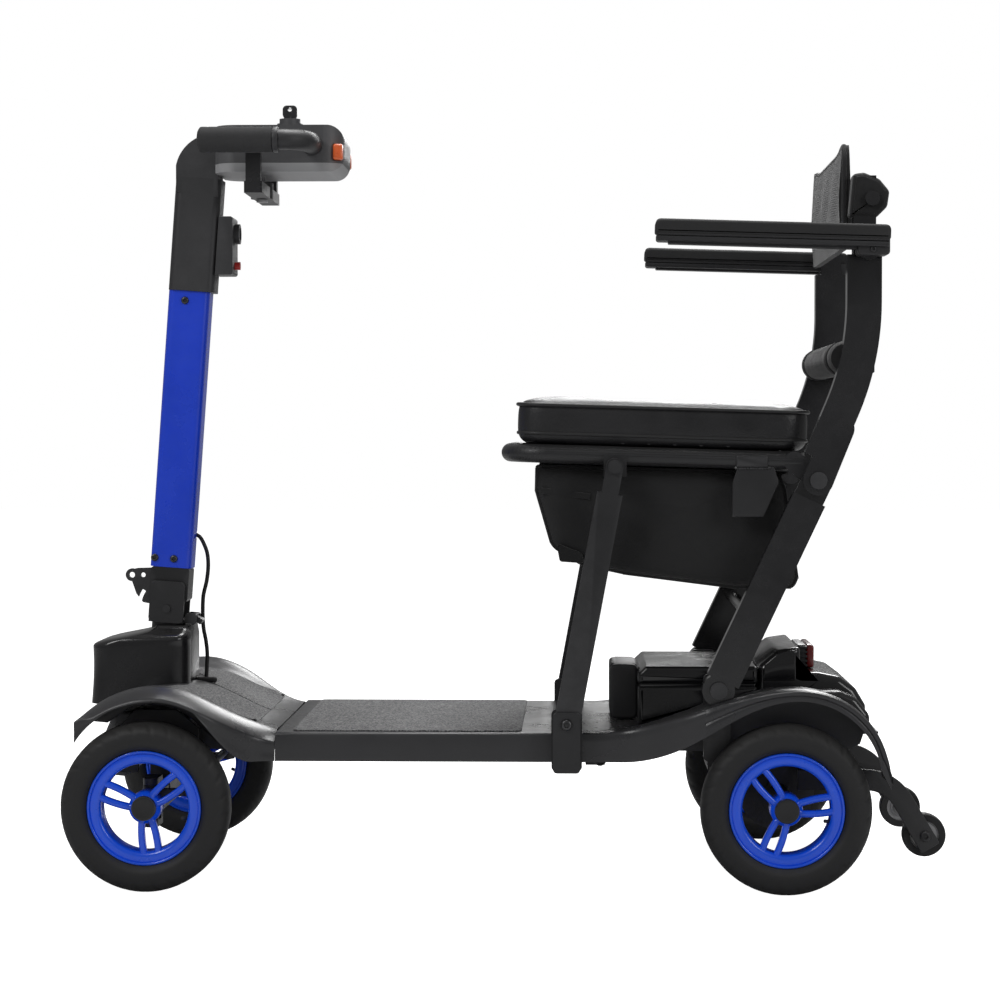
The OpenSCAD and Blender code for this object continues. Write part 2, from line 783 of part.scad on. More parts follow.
module reflectors() {
  color("orange") sides() box([-216, console_w / 2 + 0.1 - 12, console_z + 14], [-203.5, console_w / 2 + 2, console_z + 34]);
}

module tiller_screws() {
  color("silver") leaning() sides() {
    for (p = [[-20, 58 + 4], [4, 58 + 4], [-4, tube_top - 12]]) {
      rod_y(p[0], p[1], tube_w / 2, tube_w / 2 + 2.5, 4.5);
    }
  }
}

// ---- Small moving pieces ----

module release_lever() {
  color("black") leaning() slab(-11, 11) difference() {
    union() {
      translate([33, -9.5]) circle(4.2);
      translate([33, -9.5]) rotate(-32) translate([0, -3.4]) square([11, 6.8]);
    }
    translate([33, -9.5]) circle(2.5 + run_fit);
  }
}

module throttle_lever() {
  z0 = console_z - 28;
  color("black") difference() {
    union() {
      box([lever_x - 11, -90, z0], [lever_x + 11, 90, z0 + 14]);
      for (y = [-91, 77]) box([lever_x - 9, y, z0], [lever_x + 9, y + 14, z0 + 48]);
      translate([lever_x, 0, z0]) cylinder(h = 20, r = 14);
    }
    translate([lever_x, 0, z0 - 1]) cylinder(h = 40, r = 4 + run_fit);
  }
}

module key() {
  top = console_z + console_h;
  color("silver") {
    translate([key_x, 0, top - 12]) cylinder(h = 29, r = 3);
    difference() {
      slab(-1.6, 1.6) rsq(key_x - 9, top + 15, key_x + 9, top + 31, 5);
      rod_y(key_x, top + 26, -5, 5, 2.5);
    }
  }
}

module power_button() {
  color([0.1, 0.4, 0.7]) translate([button_x, 0, console_z + console_h - 5]) cylinder(h = 8, r = 6);
}

module breaker_button() {
  color("red") translate([-348.5, 0, 746]) rotate([0, 90, 0]) cylinder(h = 11, r = 5);
}

// ---- Front steering ----

module knuckle(side) {
  w = side * wheel_y;
  color("dimgray") {
    translate([front_axle_x, side * kingpin_y, axle_z - 29]) cylinder(h = 58, r = king_r);
    difference() {
      union() {
        translate([front_axle_x, side * kingpin_y, axle_z - 21 + gap]) cylinder(h = 42 - 2 * gap, r = 9.5);
        mirror([0, side < 0 ? 1 : 0, 0]) {
          rod_y(front_axle_x, axle_z, kingpin_y, wheel_y - 16.4 - gap, 11);
          rod_y(front_axle_x, axle_z, kingpin_y, wheel_y + 20, axle_r);
          rod_y(front_axle_x, axle_z, wheel_y + 16 + gap, wheel_y + 22, cap_d / 2);
          box([front_axle_x, kingpin_y - 7, axle_z + 8], [front_axle_x + steer_arm, kingpin_y + 5, axle_z + 16]);
          translate([front_axle_x + steer_arm, kingpin_y - 1, axle_z + 8]) cylinder(h = 8, r = 8);
        }
      }
    }
  }
}

module knuckle_left() {
  knuckle(-1);
}

module knuckle_right() {
  knuckle(1);
}

// Cross rod between the two steering arms.
module tie_rod() {
  x = front_axle_x + steer_arm;
  z = axle_z + 16 + gap;
  color("silver") {
    rod_y(x, z + 5, -kingpin_y + 8, kingpin_y - 8, 5);
    for (s = [-1, 1]) translate([x, s * (kingpin_y - 1), z]) cylinder(h = 9, r = 8);
  }
}

// ---- Wheels ----

module at_wheel(x, side) {
  translate([x, side * wheel_y, axle_z]) rotate([90, 0, 0]) mirror([0, 0, side < 0 ? 0 : 1]) children();
}

module tyre() {
  color([0.08, 0.08, 0.08]) rotate_extrude() difference() {
    rsq(rim_r - 8, -tyre_w / 2, tyre_r, tyre_w / 2, 15);
    translate([rim_r - 30, -tyre_w / 2 - 1]) square([30 + 0.1, tyre_w + 2]);
  }
}

module rim(bore, turn) {
  color([0.04, 0.15, 0.75]) difference() {
    union() {
      rotate_extrude() rsq(rim_r - rim_depth, -rim_w / 2, rim_r, rim_w / 2, 3.5);
      translate([0, 0, -16]) cylinder(h = 32, r = 19);
      for (i = [0 : 2]) rotate(turn + 120 * i) translate([0, 0, 5]) linear_extrude(spoke_t) difference() {
        translate([10, -spoke_w / 2]) square([rim_r - rim_depth - 9, spoke_w]);
        rsq(23, -spoke_w / 2 + spoke_bar, rim_r - rim_depth - 3, spoke_w / 2 - spoke_bar, 4);
      }
    }
    translate([0, 0, -17]) cylinder(h = 60, r = bore);
  }
}

module wheel_tyre(x, side) {
  at_wheel(x, side) tyre();
}

module wheel_rim(x, side, turn) {
  at_wheel(x, side) rim(axle_bore, side < 0 ? turn : turn);
}

// Rear stub shaft with its cap.
module shaft(side) {
  color("black") at_wheel(rear_axle_x, side) {
    translate([0, 0, -80]) cylinder(h = 98, r = axle_r);
    translate([0, 0, 16 + seat_gap]) cylinder(h = 6, r = cap_d / 2);
  }
}

module tyre_fl() { wheel_tyre(front_axle_x, -1); }
module tyre_fr() { wheel_tyre(front_axle_x, 1); }
module tyre_rl() { wheel_tyre(rear_axle_x, -1); }
module tyre_rr() { wheel_tyre(rear_axle_x, 1); }
module rim_fl() { wheel_rim(front_axle_x, -1, 38); }
module rim_fr() { wheel_rim(front_axle_x, 1, 20); }
module rim_rl() { wheel_rim(rear_axle_x, -1, 8); }
module rim_rr() { wheel_rim(rear_axle_x, 1, 50); }
module shaft_rl() { shaft(-1); }
module shaft_rr() { shaft(1); }

module antitip_wheel(side) {
  color([0.12, 0.12, 0.12]) mirror([0, side < 0 ? 1 : 0, 0]) difference() {
    translate([tip_x, tip_y, tip_z]) rotate([-90, 0, 0]) rotate_extrude() rsq(4 + run_fit, 0, tip_r, tip_w, 1);
    rod_y(tip_x, tip_z, 90, 140, 4 + run_fit);
  }
}

module antitip_wheel_left() { antitip_wheel(-1); }
module antitip_wheel_right() { antitip_wheel(1); }

// ---- Seat ----

// Point at a distance from one end of a line.
function along(a, b, s) = a + (b - a) * s / norm(b - a);

leg_a = [leg_x, leg_z];
leg_b = [leg_top_x, leg_top_z];
link_c = [hinge_x, hinge_z];
link_d = [link_x, link_z];

// Front legs with the cross tube and the top eyes.
module front_legs() {
  top = along(leg_b, leg_a, 32);
  cross = along(leg_a, leg_b, 104);
  color("black") {
    difference() {
      union() {
        sides() {
          slab(bar_in + 2, bar_out) difference() {
            union() {
              bar2(leg_a, along(leg_a, leg_b, 40), leg_depth);
              translate(leg_a) rotate(atan2(leg_b[1] - leg_a[1], leg_b[0] - leg_a[0]))
                translate([0, -leg_depth / 2]) square([norm(leg_b - leg_a) - 32, leg_depth]);
            }
            translate(leg_a) circle(pin_bore);
          }
          slab(bar_out - 8, bar_out) bar2(along(leg_b, leg_a, 42), leg_b, 20);
          rod_y(leg_top_x, leg_top_z, bar_out - 0.1, bar_out + 5, 8);
        }
        rod_y(cross[0], cross[1], -bar_in - 3, bar_in + 3, 8);
      }
    }
  }
}

// Rear links with the cross tube.
module rear_links() {
  cross = along(link_d, link_c, 94);
  color("black") {
    sides() {
      slab(bar_in, bar_out) difference() {
        union() {
          translate(link_d) rotate(atan2(link_c[1] - link_d[1], link_c[0] - link_d[0]))
            translate([12, -bar_depth / 2]) square([norm(link_c - link_d) - 24 - 12, bar_depth]);
          translate(link_d) circle(19);
        }
        translate(link_d) circle(pin_bore);
      }
      slab(bar_in, bar_in + bar_t / 2 - gap / 2) difference() {
        bar2(along(link_c, link_d, 40), link_c, bar_depth - 4);
        translate(link_c) circle(pin_bore);
      }
    }
    rod_y(cross[0], cross[1], -bar_in - 3, bar_in + 3, 8);
  }
}

tube_y = 174;
tube_z = 21.5;
tube_r = seat_tube_d / 2;
seat_x0 = -360;
seat_x1 = -15;
corner_r = 42;

// Seat tube loop with hinge plates, gussets and front leg bosses.
module seat_frame() {
  color("black") {
    seated() translate([0, 0, tube_z]) {
      sides() {
        translate([seat_x0 + corner_r, tube_y, 0]) rotate([0, 90, 0])
          cylinder(h = seat_x1 - seat_x0 - corner_r, r = tube_r);
        translate([seat_x0 + corner_r, tube_y - corner_r, 0]) rotate([0, 0, 90])
          rotate_extrude(angle = 90) translate([corner_r, 0]) circle(tube_r);
      }
      rod_y(seat_x0, 0, -tube_y + corner_r, tube_y - corner_r, tube_r);
      rod_y(seat_x1 - tube_r - 3, 0, -tube_y, tube_y, tube_r - 0.5);
    }
    sides() {
      slab(tube_y + 2, bar_in - 1.6) bar2([hinge_x, hinge_z], [hinge_x - 26, hinge_z + tube_z], 24);
      rod_y(hinge_x, hinge_z, bar_in - 5, bar_out + 3, pin_r);
      rod_y(hinge_x, hinge_z, bar_out + gap, bar_out + 6, 10);
      slab(tube_y + 2, tube_y + 7) polygon([[hinge_x - 98, hinge_z - 4], [hinge_x - 98, hinge_z - 43],
        [hinge_x - 62, hinge_z - 43], [hinge_x - 44, hinge_z - 2], [hinge_x - 50, hinge_z + 16],
        [hinge_x - 92, hinge_z + 16]]);
      box([leg_top_x - 13, tube_y + 4, leg_top_z - 12], [leg_top_x + 14, bar_in + 1, leg_top_z + 14]);
      rod_y(leg_top_x, leg_top_z, bar_in - 0.5, bar_out - 8 - gap, 10);
    }
  }
}

module seat_pan() {
  hw = tube_y - tube_r - 0.2;
  color("black") seated() translate([0, 0, tube_z + 3]) linear_extrude(tube_r - 3.1)
    rsq(seat_x0 + 12, -hw, seat_x1 - 2 * tube_r - 4, hw, corner_r - tube_r - 0.2);
}

// Soft seat cushion with rounded edges.
module seat_cushion() {
  z0 = tube_z + tube_r + 0.2;
  hw = bar_in - 3;
  color([0.12, 0.12, 0.12]) seated() translate([seat_x0 + 6, 0, z0]) intersection() {
    linear_extrude(cushion_h) rsq(0, -hw, cushion_len, hw, 36);
    slab(-hw, hw) rsq(0, 0, cushion_len, cushion_h, 20);
    translate([0, 0, 0]) rotate([90, 0, 90]) linear_extrude(cushion_len) rsq(-hw, 0, hw, cushion_h, 18);
  }
}

// Storage bag slung under the seat.
module seat_bag() {
  hw = tube_y - tube_r - 2;
  color([0.1, 0.1, 0.1]) slab(-hw, hw) polygon([[34, 500], [33, 468], [52, 402], [86, 381], [140, 370],
    [269, 354], [340, 354], [345, 366], [330, 470], [322, 492]]);
}

// ---- Backrest ----

sweep_r = 320;
sweep = 23;
sweep_c = [415 - sweep_r, 690];
bend = [sweep_c[0] + sweep_r * cos(sweep), sweep_c[1] - sweep_r * sin(sweep)];
up_top = 836;

// Curved side bars with the armrest pins.
module uprights() {
  color("black") sides() {
    slab(bar_in, bar_out) {
      polygon(concat(
        [for (a = steps(-sweep, 0, 14)) sweep_c + (sweep_r + bar_depth / 2) * [cos(a), sin(a)]],
        [[sweep_c[0] + sweep_r + bar_depth / 2, 745], [sweep_c[0] + sweep_r + 13, 745],
          [sweep_c[0] + sweep_r + 13, up_top], [sweep_c[0] + sweep_r - 13, up_top],
          [sweep_c[0] + sweep_r - 13, 745], [sweep_c[0] + sweep_r - bar_depth / 2, 745]],
        [for (a = steps(0, -sweep, 14)) sweep_c + (sweep_r - bar_depth / 2) * [cos(a), sin(a)]],
        [bend + 62 * [-sin(sweep), -cos(sweep)] - bar_depth / 2 * [cos(sweep), -sin(sweep)],
          bend + 62 * [-sin(sweep), -cos(sweep)] + bar_depth / 2 * [cos(sweep), -sin(sweep)]]));
    }
    slab(bar_in + bar_t / 2 + gap / 2, bar_out - 0.3) difference() {
      bar2(link_c, bend + [-3, -22], bar_depth - 5);
      translate(link_c) circle(pin_bore);
    }
    rod_y(arm_pivot[0], arm_pivot[1], bar_out - 3, bar_out + arm_gap + 12, 5);
    rod_y(423, 809, bar_out + 2.2, bar_out + 8, 8.5);
    rod_y(423, 809, bar_out - 4, bar_out + 4, 3);
  }
}

// Padded backrest sleeve with side wings round the side bars.
module back_cover() {
  z0 = 753;
  x_up = sweep_c[0] + sweep_r;
  color([0.1, 0.1, 0.1]) difference() {
    union() {
      intersection() {
        slab(-bar_out - 2, bar_out + 2) rsq(386, z0, 404, z0 + cover_h, 8);
        translate([380, 0, z0]) rotate([90, 0, 90]) linear_extrude(40) rsq(-bar_in + 4, 0, bar_in - 4, cover_h, 20);
      }
      sides() {
        slab(bar_in - 6, bar_out + 2) rsq(396, 786, 444, 840, 7);
        box([394, bar_in - 6.5, 786], [404, bar_in - 3, 836]);
      }
    }
    sides() box([x_up - 13 - 0.3, bar_in - 0.3, 700], [x_up + 13 + 0.3, bar_out + 0.3, up_top + 0.3]);
    sides() rod_y(423, 809, bar_out - 10, bar_out + 10, 3.3);
  }
}

// Lumbar roll with its rear flap.
module lumbar_roll() {
  hw = bar_in - 0.5;
  color([0.1, 0.1, 0.1]) {
    rod_y(395, 626, -hw, hw, roll_d / 2);
    box([396, -hw, 614], [430, hw, 619]);
    box([425, -hw, 608], [430, hw, 638]);
  }
}

module armrest(side) {
  y0 = bar_out + arm_gap;
  x0 = arm_x1 - arm_len;
  color([0.12, 0.12, 0.12]) mirror([0, side < 0 ? 1 : 0, 0]) difference() {
    union() {
      translate([arm_x1, 0, 776]) rotate([0, 1.7, 0]) slab(y0, y0 + arm_w)
        rsq(-arm_len, -arm_h, 0, 0, 8);
      slab(y0, y0 + arm_w - 6) rsq(402, 741, arm_x1 - 1, 770, 5);
      slab(y0 + 10, y0 + 30) polygon([[x0 + 14, 754.5], [402, 748], [402, 756], [x0 + 14, 760]]);
      rod_y(arm_pivot[0], arm_pivot[1], bar_out + gap, y0 + 1, 14);
    }
    rod_y(arm_pivot[0], arm_pivot[1], bar_out - 5, y0 + 13, 5 + run_fit);
  }
}

module armrest_left() { armrest(-1); }
module armrest_right() { armrest(1); }

// ---- Cable ----

cable_pts = [[-397, 411], [-391, 407], [-386, 398], [-382, 386], [-381, 370], [-383, 352], [-387, 335],
  [-388, 322], [-388, 308], [-387, 292], [-384, 276], [-382.5, 260], [-383, 246], [-384, 226]];
cable_r = 2.5;
cable_y = 14;

// A round tube through chosen points in an X-Z plane.
module cable(first, last) {
  n = last - first + 1;
  k = 8;
  p = [for (i = [first : last]) cable_pts[i]];
  end = len(cable_pts) - 1;
  t = [for (i = [first : last]) let (a = cable_pts[max(0, i - 1)], b = cable_pts[min(end, i + 1)])
    (b - a) / norm(b - a)];
  pts = [for (i = [0 : n - 1], j = [0 : k - 1])
    [p[i][0] + t[i][1] * cable_r * cos(360 * j / k), cable_y + cable_r * sin(360 * j / k),
     p[i][1] - t[i][0] * cable_r * cos(360 * j / k)]];
  faces = concat([[for (j = [0 : k - 1]) j]], [[for (j = [k - 1 : -1 : 0]) (n - 1) * k + j]],
    [for (i = [0 : n - 2], j = [0 : k - 1])
      [i * k + j, (i + 1) * k + j, (i + 1) * k + (j + 1) % k, i * k + (j + 1) % k]]);
  polyhedron(pts, faces);
}

module cable_upper() {
  color("black") cable(0, 7);
}

module cable_lower() {
  color("black") cable(7, 13);
}

frame();
front_cover();
deck_mats();
deck_mid();
deck_rear();
shroud();
rear_cover();
tail_lamp();
seat_brackets();
deck_latch();
transaxle();
antitip_arms();
head_tube();
battery_case();
battery_handle();
steer_yoke();
fold_plate();
tiller_tube();
tiller_base();
tiller_casing();
console_upper();
console_lower();
handlebar();
grips();
charge_box();
reflectors();
tiller_screws();
release_lever();
throttle_lever();
key();
power_button();
breaker_button();
knuckle_left();
knuckle_right();
tie_rod();
tyre_fl();
rim_fl();
tyre_fr();
rim_fr();
tyre_rl();
rim_rl();
shaft_rl();
tyre_rr();
rim_rr();
shaft_rr();
front_legs();
rear_links();
seat_frame();
seat_pan();
seat_cushion();
seat_bag();
uprights();
back_cover();
lumbar_roll();
armrest_left();
armrest_right();
antitip_wheel_left();
antitip_wheel_right();
cable_upper();
cable_lower();
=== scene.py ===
"""Mobility scooter: the looks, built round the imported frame. Lengths in the code are millimetres."""
import math

import bmesh
import bpy
import numpy as np
from bpy.props import FloatProperty, FloatVectorProperty, PointerProperty
from bpy.types import Operator, Panel, PropertyGroup
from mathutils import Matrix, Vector


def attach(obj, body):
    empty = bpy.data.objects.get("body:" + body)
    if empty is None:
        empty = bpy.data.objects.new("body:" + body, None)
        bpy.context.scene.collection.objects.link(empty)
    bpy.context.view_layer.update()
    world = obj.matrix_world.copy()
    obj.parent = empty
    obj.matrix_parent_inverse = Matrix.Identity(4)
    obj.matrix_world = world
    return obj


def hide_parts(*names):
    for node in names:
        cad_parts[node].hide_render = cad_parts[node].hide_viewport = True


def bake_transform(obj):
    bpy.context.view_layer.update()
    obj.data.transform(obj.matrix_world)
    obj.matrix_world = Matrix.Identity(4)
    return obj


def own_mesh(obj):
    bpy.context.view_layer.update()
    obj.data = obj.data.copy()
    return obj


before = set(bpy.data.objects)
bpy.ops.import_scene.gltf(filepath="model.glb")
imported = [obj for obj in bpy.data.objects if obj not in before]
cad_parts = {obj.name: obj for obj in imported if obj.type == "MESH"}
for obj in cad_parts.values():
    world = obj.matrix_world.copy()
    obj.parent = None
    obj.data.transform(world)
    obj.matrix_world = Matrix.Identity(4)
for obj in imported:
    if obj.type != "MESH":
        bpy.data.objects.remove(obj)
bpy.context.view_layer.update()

bl_info = {
    "name": "Mobility scooter finish",
    "version": (1, 0, 0),
    "blender": (4, 5, 0),
    "location": "View3D > Sidebar > Scooter",
    "description": "Builds the finished surfaces of a folding mobility scooter round its frame",
    "category": "Add Mesh",
}

MM = 0.001
SIDES = (-1, 1)

# Driving dimensions, the same as the frame's. Points are X and Z.
LEAN = math.radians(4.1)
PIVOT = (-427.1, 320.0)
SLOPE = math.radians(1.7)
HINGE = (362.5, 483.0)
AXLE_FRONT = -423.0
AXLE_REAR = 326.0
AXLE_Z = 100.0
WHEEL_Y = 205.0
DECK_Z = 185.0
SKIRT_Z = 151.0
DECK_HALF = 184.0
FENDER_HALF = 229.0
BODY_Y = 146.0
NOSE_X = -504.0
JOINT_FRONT = -274.6
JOINT_REAR = 57.2
LEG_FOOT = (70.5, 198.0)
LEG_TOP = (126.5, 499.0)
LINK_FOOT = (247.5, 238.0)
ARM_PIVOT = (420.0, 752.0)
TIP = (498.0, 57.0)


def srgb(r, g, b):
    """Linear colour of an sRGB one given from 0 to 255, by the standard curve."""
    c = np.array([r, g, b]) / 255
    return (*np.where(c <= 0.04045, c / 12.92, ((c + 0.055) / 1.055) ** 2.4).tolist(), 1.0)


# ---- Placing ----

def leaning(p):
    """Turn points of the leaning tiller frame by the lean about Y and move them to the folding pivot."""
    p = np.asarray(p, float)
    c, s = math.cos(LEAN), math.sin(LEAN)
    return np.stack([PIVOT[0] + p[..., 0] * c + p[..., 2] * s, p[..., 1],
                     PIVOT[1] - p[..., 0] * s + p[..., 2] * c], -1)


def seated(p):
    """Turn points of the sloping seat frame by the slope about Y and move them to the rear hinge."""
    p = np.asarray(p, float)
    c, s = math.cos(SLOPE), math.sin(SLOPE)
    return np.stack([HINGE[0] + p[..., 0] * c + p[..., 2] * s, p[..., 1],
                     HINGE[1] - p[..., 0] * s + p[..., 2] * c], -1)


def flat_xz(outline, y=0.0):
    """Stand an X-Z outline up at one Y."""
    outline = np.asarray(outline, float)
    return np.stack([outline[:, 0], np.full(len(outline), y), outline[:, 1]], -1)


# ---- Shape functions ----

def ease(t):
    """Half a cosine wave from 0 to 1, held at its ends."""
    return 0.5 - 0.5 * np.cos(np.pi * np.clip(t, 0, 1))


def dome(x, cx, cz, r):
    """Height of a circle over x."""
    return cz + np.sqrt(np.maximum(0, r * r - (x - cx) ** 2))


def bell(t, width):
    """Gaussian bump of height 1."""
    return np.exp(-(t / width) ** 2)


def front_top(x):
    """Crest line of the front section: a circle at the nose, then an eased fall to the deck."""
    return np.where(x < -411, dome(x, -411, 113, 128), 241 - 56 * ease((x + 411) / 150))


def front_low(x):
    """Lower edge of the front fender."""
    return np.where(x < -411, dome(x, -411, 117, 110), 227 - 76 * ease((x + 390) / 90))


def front_half(x):
    """Half width of the front section."""
    return FENDER_HALF - (FENDER_HALF - DECK_HALF) * ease((x + 365) / 88)


def rear_top(x):
    """Crest line of the rear fender."""
    return np.where(x > 340, dome(x, 340, 136, 106), 242 - 57 * ease((340 - x) / 240))


def rear_low(x):
    """Lower edge of the rear fender, with its tip cut at a slope."""
    low = np.where(x > 340, dome(np.minimum(x, 435), 340, 132, 96), 228 - 77 * ease((340 - x) / 205))
    return low - 1.7 * np.maximum(0, x - 435)


def rear_half(x):
    """Half width of the rear section."""
    return DECK_HALF + (FENDER_HALF - DECK_HALF) * ease((x - 130) / 110)


def dish(x):
    """Depth of the sunk middle of the front section below its crest."""
    return 11.5 * np.clip((-268 - x) / 130, 0, 1) ** 0.9 * ease((x - NOSE_X) / 50)


def front_height(x, y):
    """Crest height, less a rounded fall at the outer edge, less the eased dish inside the crest."""
    inset = front_half(x) - np.abs(y)
    edge = 13 * np.clip(1 - inset / 36, 0, 1) ** 2
    return front_top(x) - edge * ease((x - NOSE_X) / 24) - dish(x) * ease((inset - 36) / 34)


# ---- Outlines ----

def arc(cx, cz, r, a0, a1, n):
    """Points round part of a circle, angles in degrees."""
    a = np.radians(np.linspace(a0, a1, n))
    return np.stack([cx + r * np.cos(a), cz + r * np.sin(a)], -1)


def fillet(corners, radius, n=6):
    """Round each corner of a polygon with an arc that touches both its edges."""
    p = np.asarray(corners, float)
    r = np.broadcast_to(np.asarray(radius, float), len(p))
    before = np.roll(p, 1, 0) - p
    after = np.roll(p, -1, 0) - p
    lb, la = np.linalg.norm(before, axis=1), np.linalg.norm(after, axis=1)
    ub, ua = before / lb[:, None], after / la[:, None]
    half = np.arccos(np.clip((ub * ua).sum(1), -1, 1)) / 2
    reach = np.minimum(r / np.tan(half), 0.49 * np.minimum(lb, la))
    start, end = p + ub * reach[:, None], p + ua * reach[:, None]
    t = np.linspace(0, 1, n)[None, :, None]
    curve = (1 - t) ** 2 * start[:, None] + 2 * t * (1 - t) * p[:, None] + t ** 2 * end[:, None]
    return curve.reshape(-1, 2)


def rounded_rect(w, h, r, n=5):
    """Rectangle of width w and height h about the origin with corners of radius r."""
    x, y = w / 2 - r, h / 2 - r
    return np.concatenate([arc(x, y, r, 0, 90, n), arc(-x, y, r, 90, 180, n),
                           arc(-x, -y, r, 180, 270, n), arc(x, -y, r, 270, 360, n)])


def inset_outline(outline, d):
    """Move each point of a closed outline inwards by d along the mitre of its two edges."""
    p = np.asarray(outline, float)
    nxt, prv = np.roll(p, -1, 0) - p, p - np.roll(p, 1, 0)
    nxt /= np.maximum(np.linalg.norm(nxt, axis=1), 1e-9)[:, None]
    prv /= np.maximum(np.linalg.norm(prv, axis=1), 1e-9)[:, None]
    n1, n2 = np.stack([-nxt[:, 1], nxt[:, 0]], -1), np.stack([-prv[:, 1], prv[:, 0]], -1)
    area = np.sum(p[:, 0] * np.roll(p[:, 1], -1) - np.roll(p[:, 0], -1) * p[:, 1])
    mitre = (n1 + n2) / np.maximum(1 + (n1 * n2).sum(1), 0.35)[:, None]
    return p + mitre * d * np.sign(area)


def smooth_path(points, n):
    """Catmull-Rom curve through the points, n samples in all."""
    p = np.asarray(points, float)
    p = np.concatenate([[2 * p[0] - p[1]], p, [2 * p[-1] - p[-2]]])
    u = np.linspace(0, len(p) - 3 - 1e-9, n)
    i = u.astype(int)
    t = (u - i)[:, None]
    a, b, c, d = p[i], p[i + 1], p[i + 2], p[i + 3]
    return 0.5 * (2 * b + (c - a) * t
                  + (2 * a - 5 * b + 4 * c - d) * t ** 2
                  + (3 * b - a - 3 * c + d) * t ** 3)


# ---- Surfaces: each returns points and faces ----

def skin(grid, wrap_rows=False, wrap_cols=True, caps=True):
    """Quads between neighbouring points of a grid, closed round its columns, with flat end caps."""
    grid = np.asarray(grid, float)
    rows, cols = grid.shape[:2]
    i, j = np.meshgrid(np.arange(rows if wrap_rows else rows - 1),
                       np.arange(cols if wrap_cols else cols - 1), indexing="ij")
    i2, j2 = (i + 1) % rows, (j + 1) % cols
    quads = np.stack([i * cols + j, i * cols + j2, i2 * cols + j2, i2 * cols + j], -1).reshape(-1, 4)
    faces = quads.tolist()
    if caps and not wrap_rows:
        faces += [list(range(cols))[::-1], list(range((rows - 1) * cols, rows * cols))]
    return grid.reshape(-1, 3), faces


def shell(grid, thickness):
    """Sheet of a grid with a wall: the grid, a copy moved against its normals, and the four rims."""
    grid = np.asarray(grid, float)
    rows, cols = grid.shape[:2]
    normal = np.cross(np.gradient(grid, axis=0), np.gradient(grid, axis=1))
    normal /= np.maximum(np.linalg.norm(normal, axis=-1), 1e-9)[..., None]
    inner = grid - normal * thickness
    both = np.concatenate([grid, inner[:, ::-1]], axis=1)
    points, faces = skin(both, caps=False)
    k = np.arange(cols - 1)
    for base in (0, (rows - 1) * 2 * cols):
        strip = np.stack([base + k, base + k + 1, base + 2 * cols - 2 - k, base + 2 * cols - 1 - k], -1)
        faces += strip.tolist()
    return points, faces


def sweep(path, section, ref=(0, 1, 0), scale=None):
    """Carry a closed section along a path; section x lies across the path and the ref, y along the ref."""
    path = np.asarray(path, float)
    tangent = np.gradient(path, axis=0)
    tangent /= np.linalg.norm(tangent, axis=1)[:, None]
    across = np.cross(tangent, ref)
    across /= np.linalg.norm(across, axis=1)[:, None]
    up = np.cross(across, tangent)
    s = np.ones(len(path)) if scale is None else np.asarray(scale)
    section = np.asarray(section, float)
    return skin(path[:, None] + s[:, None, None] * (section[None, :, :1] * across[:, None]
                                                    + section[None, :, 1:] * up[:, None]))


def tube(path, r, sides=20, ref=(0, 1, 0)):
    """Round tube along a path."""
    return sweep(path, arc(0, 0, r, 0, 360 - 360 / sides, sides), ref)


def slab(outline, y0, y1, edge=1.5, n=4):
    """Outline carried from y0 to y1, with both edges rounded by a quarter circle of the given radius."""
    a = np.radians(np.linspace(0, 90, n))
    inset = np.concatenate([edge * (1 - np.sin(a)), edge * (1 - np.sin(a[::-1]))])
    ys = np.concatenate([y0 + edge * (1 - np.cos(a)), y1 - edge * (1 - np.cos(a[::-1]))])
    rings = np.stack([flat_xz(inset_outline(outline, d), y) for d, y in zip(inset, ys)])
    return skin(rings)


def prism(outline, lo, hi, edge=1.5, axis="z", n=4):
    """The same as a slab, with the outline in X-Y and the depth along Z, or in Y-Z and along X."""
    points, faces = slab(outline, lo, hi, edge, n)
    a, depth, b = points[:, 0], points[:, 1], points[:, 2]
    return (np.stack([a, b, depth], -1) if axis == "z" else np.stack([depth, a, b], -1)), faces


def block(lo, hi, r=2.0, edge=1.5):
    """Box between two corners, its upright corners rounded by r and its rims by edge."""
    lo, hi = np.asarray(lo, float), np.asarray(hi, float)
    mid, size = (lo + hi) / 2, hi - lo
    r = min(r, 0.49 * min(size[0], size[2]))
    edge = min(edge, 0.45 * min(size))
    outline = rounded_rect(size[0], size[2], r) + [mid[0], mid[2]]
    return slab(outline, lo[1], hi[1], edge)


def lathe(profile, cx, cz, n=64):
    """Turn a profile of radius and Y about a line along Y; end radii near zero close the ends."""
    profile = np.asarray(profile, float)
    a = np.linspace(0, 2 * np.pi, n, endpoint=False)
    r, y = profile[:, :1], np.broadcast_to(profile[:, 1:], (len(profile), n))
    return skin(np.stack([cx + r * np.cos(a), y, cz + r * np.sin(a)], -1))


def ring(profile, cx, cz, n=96):
    """Turn a closed profile of radius and Y about a line along Y."""
    profile = np.asarray(profile, float)
    a = np.linspace(0, 2 * np.pi, n, endpoint=False)[:, None]
    return skin(np.stack([cx + profile[:, 0] * np.cos(a), np.broadcast_to(profile[:, 1], (n, len(profile))),
                          cz + profile[:, 0] * np.sin(a)], -1), wrap_rows=True)


def closed_loop(path, section, ref, up):
    """Carry a section round a closed path; section x lies across the path and the ref, y along up."""
    step = np.roll(path, -1, 0) - np.roll(path, 1, 0)
    step /= np.linalg.norm(step, axis=1)[:, None]
    across = np.cross(step, ref)
    return skin(path[:, None] + section[None, :, :1] * across[:, None] + section[None, :, 1:] * np.array(up),
                wrap_rows=True)


def pin(x, z, y0, y1, r, n=24):
    """Round pin along Y, closed at both ends."""
    return lathe([(0.05, y0), (r, y0), (r, y1), (0.05, y1)], x, z, n)


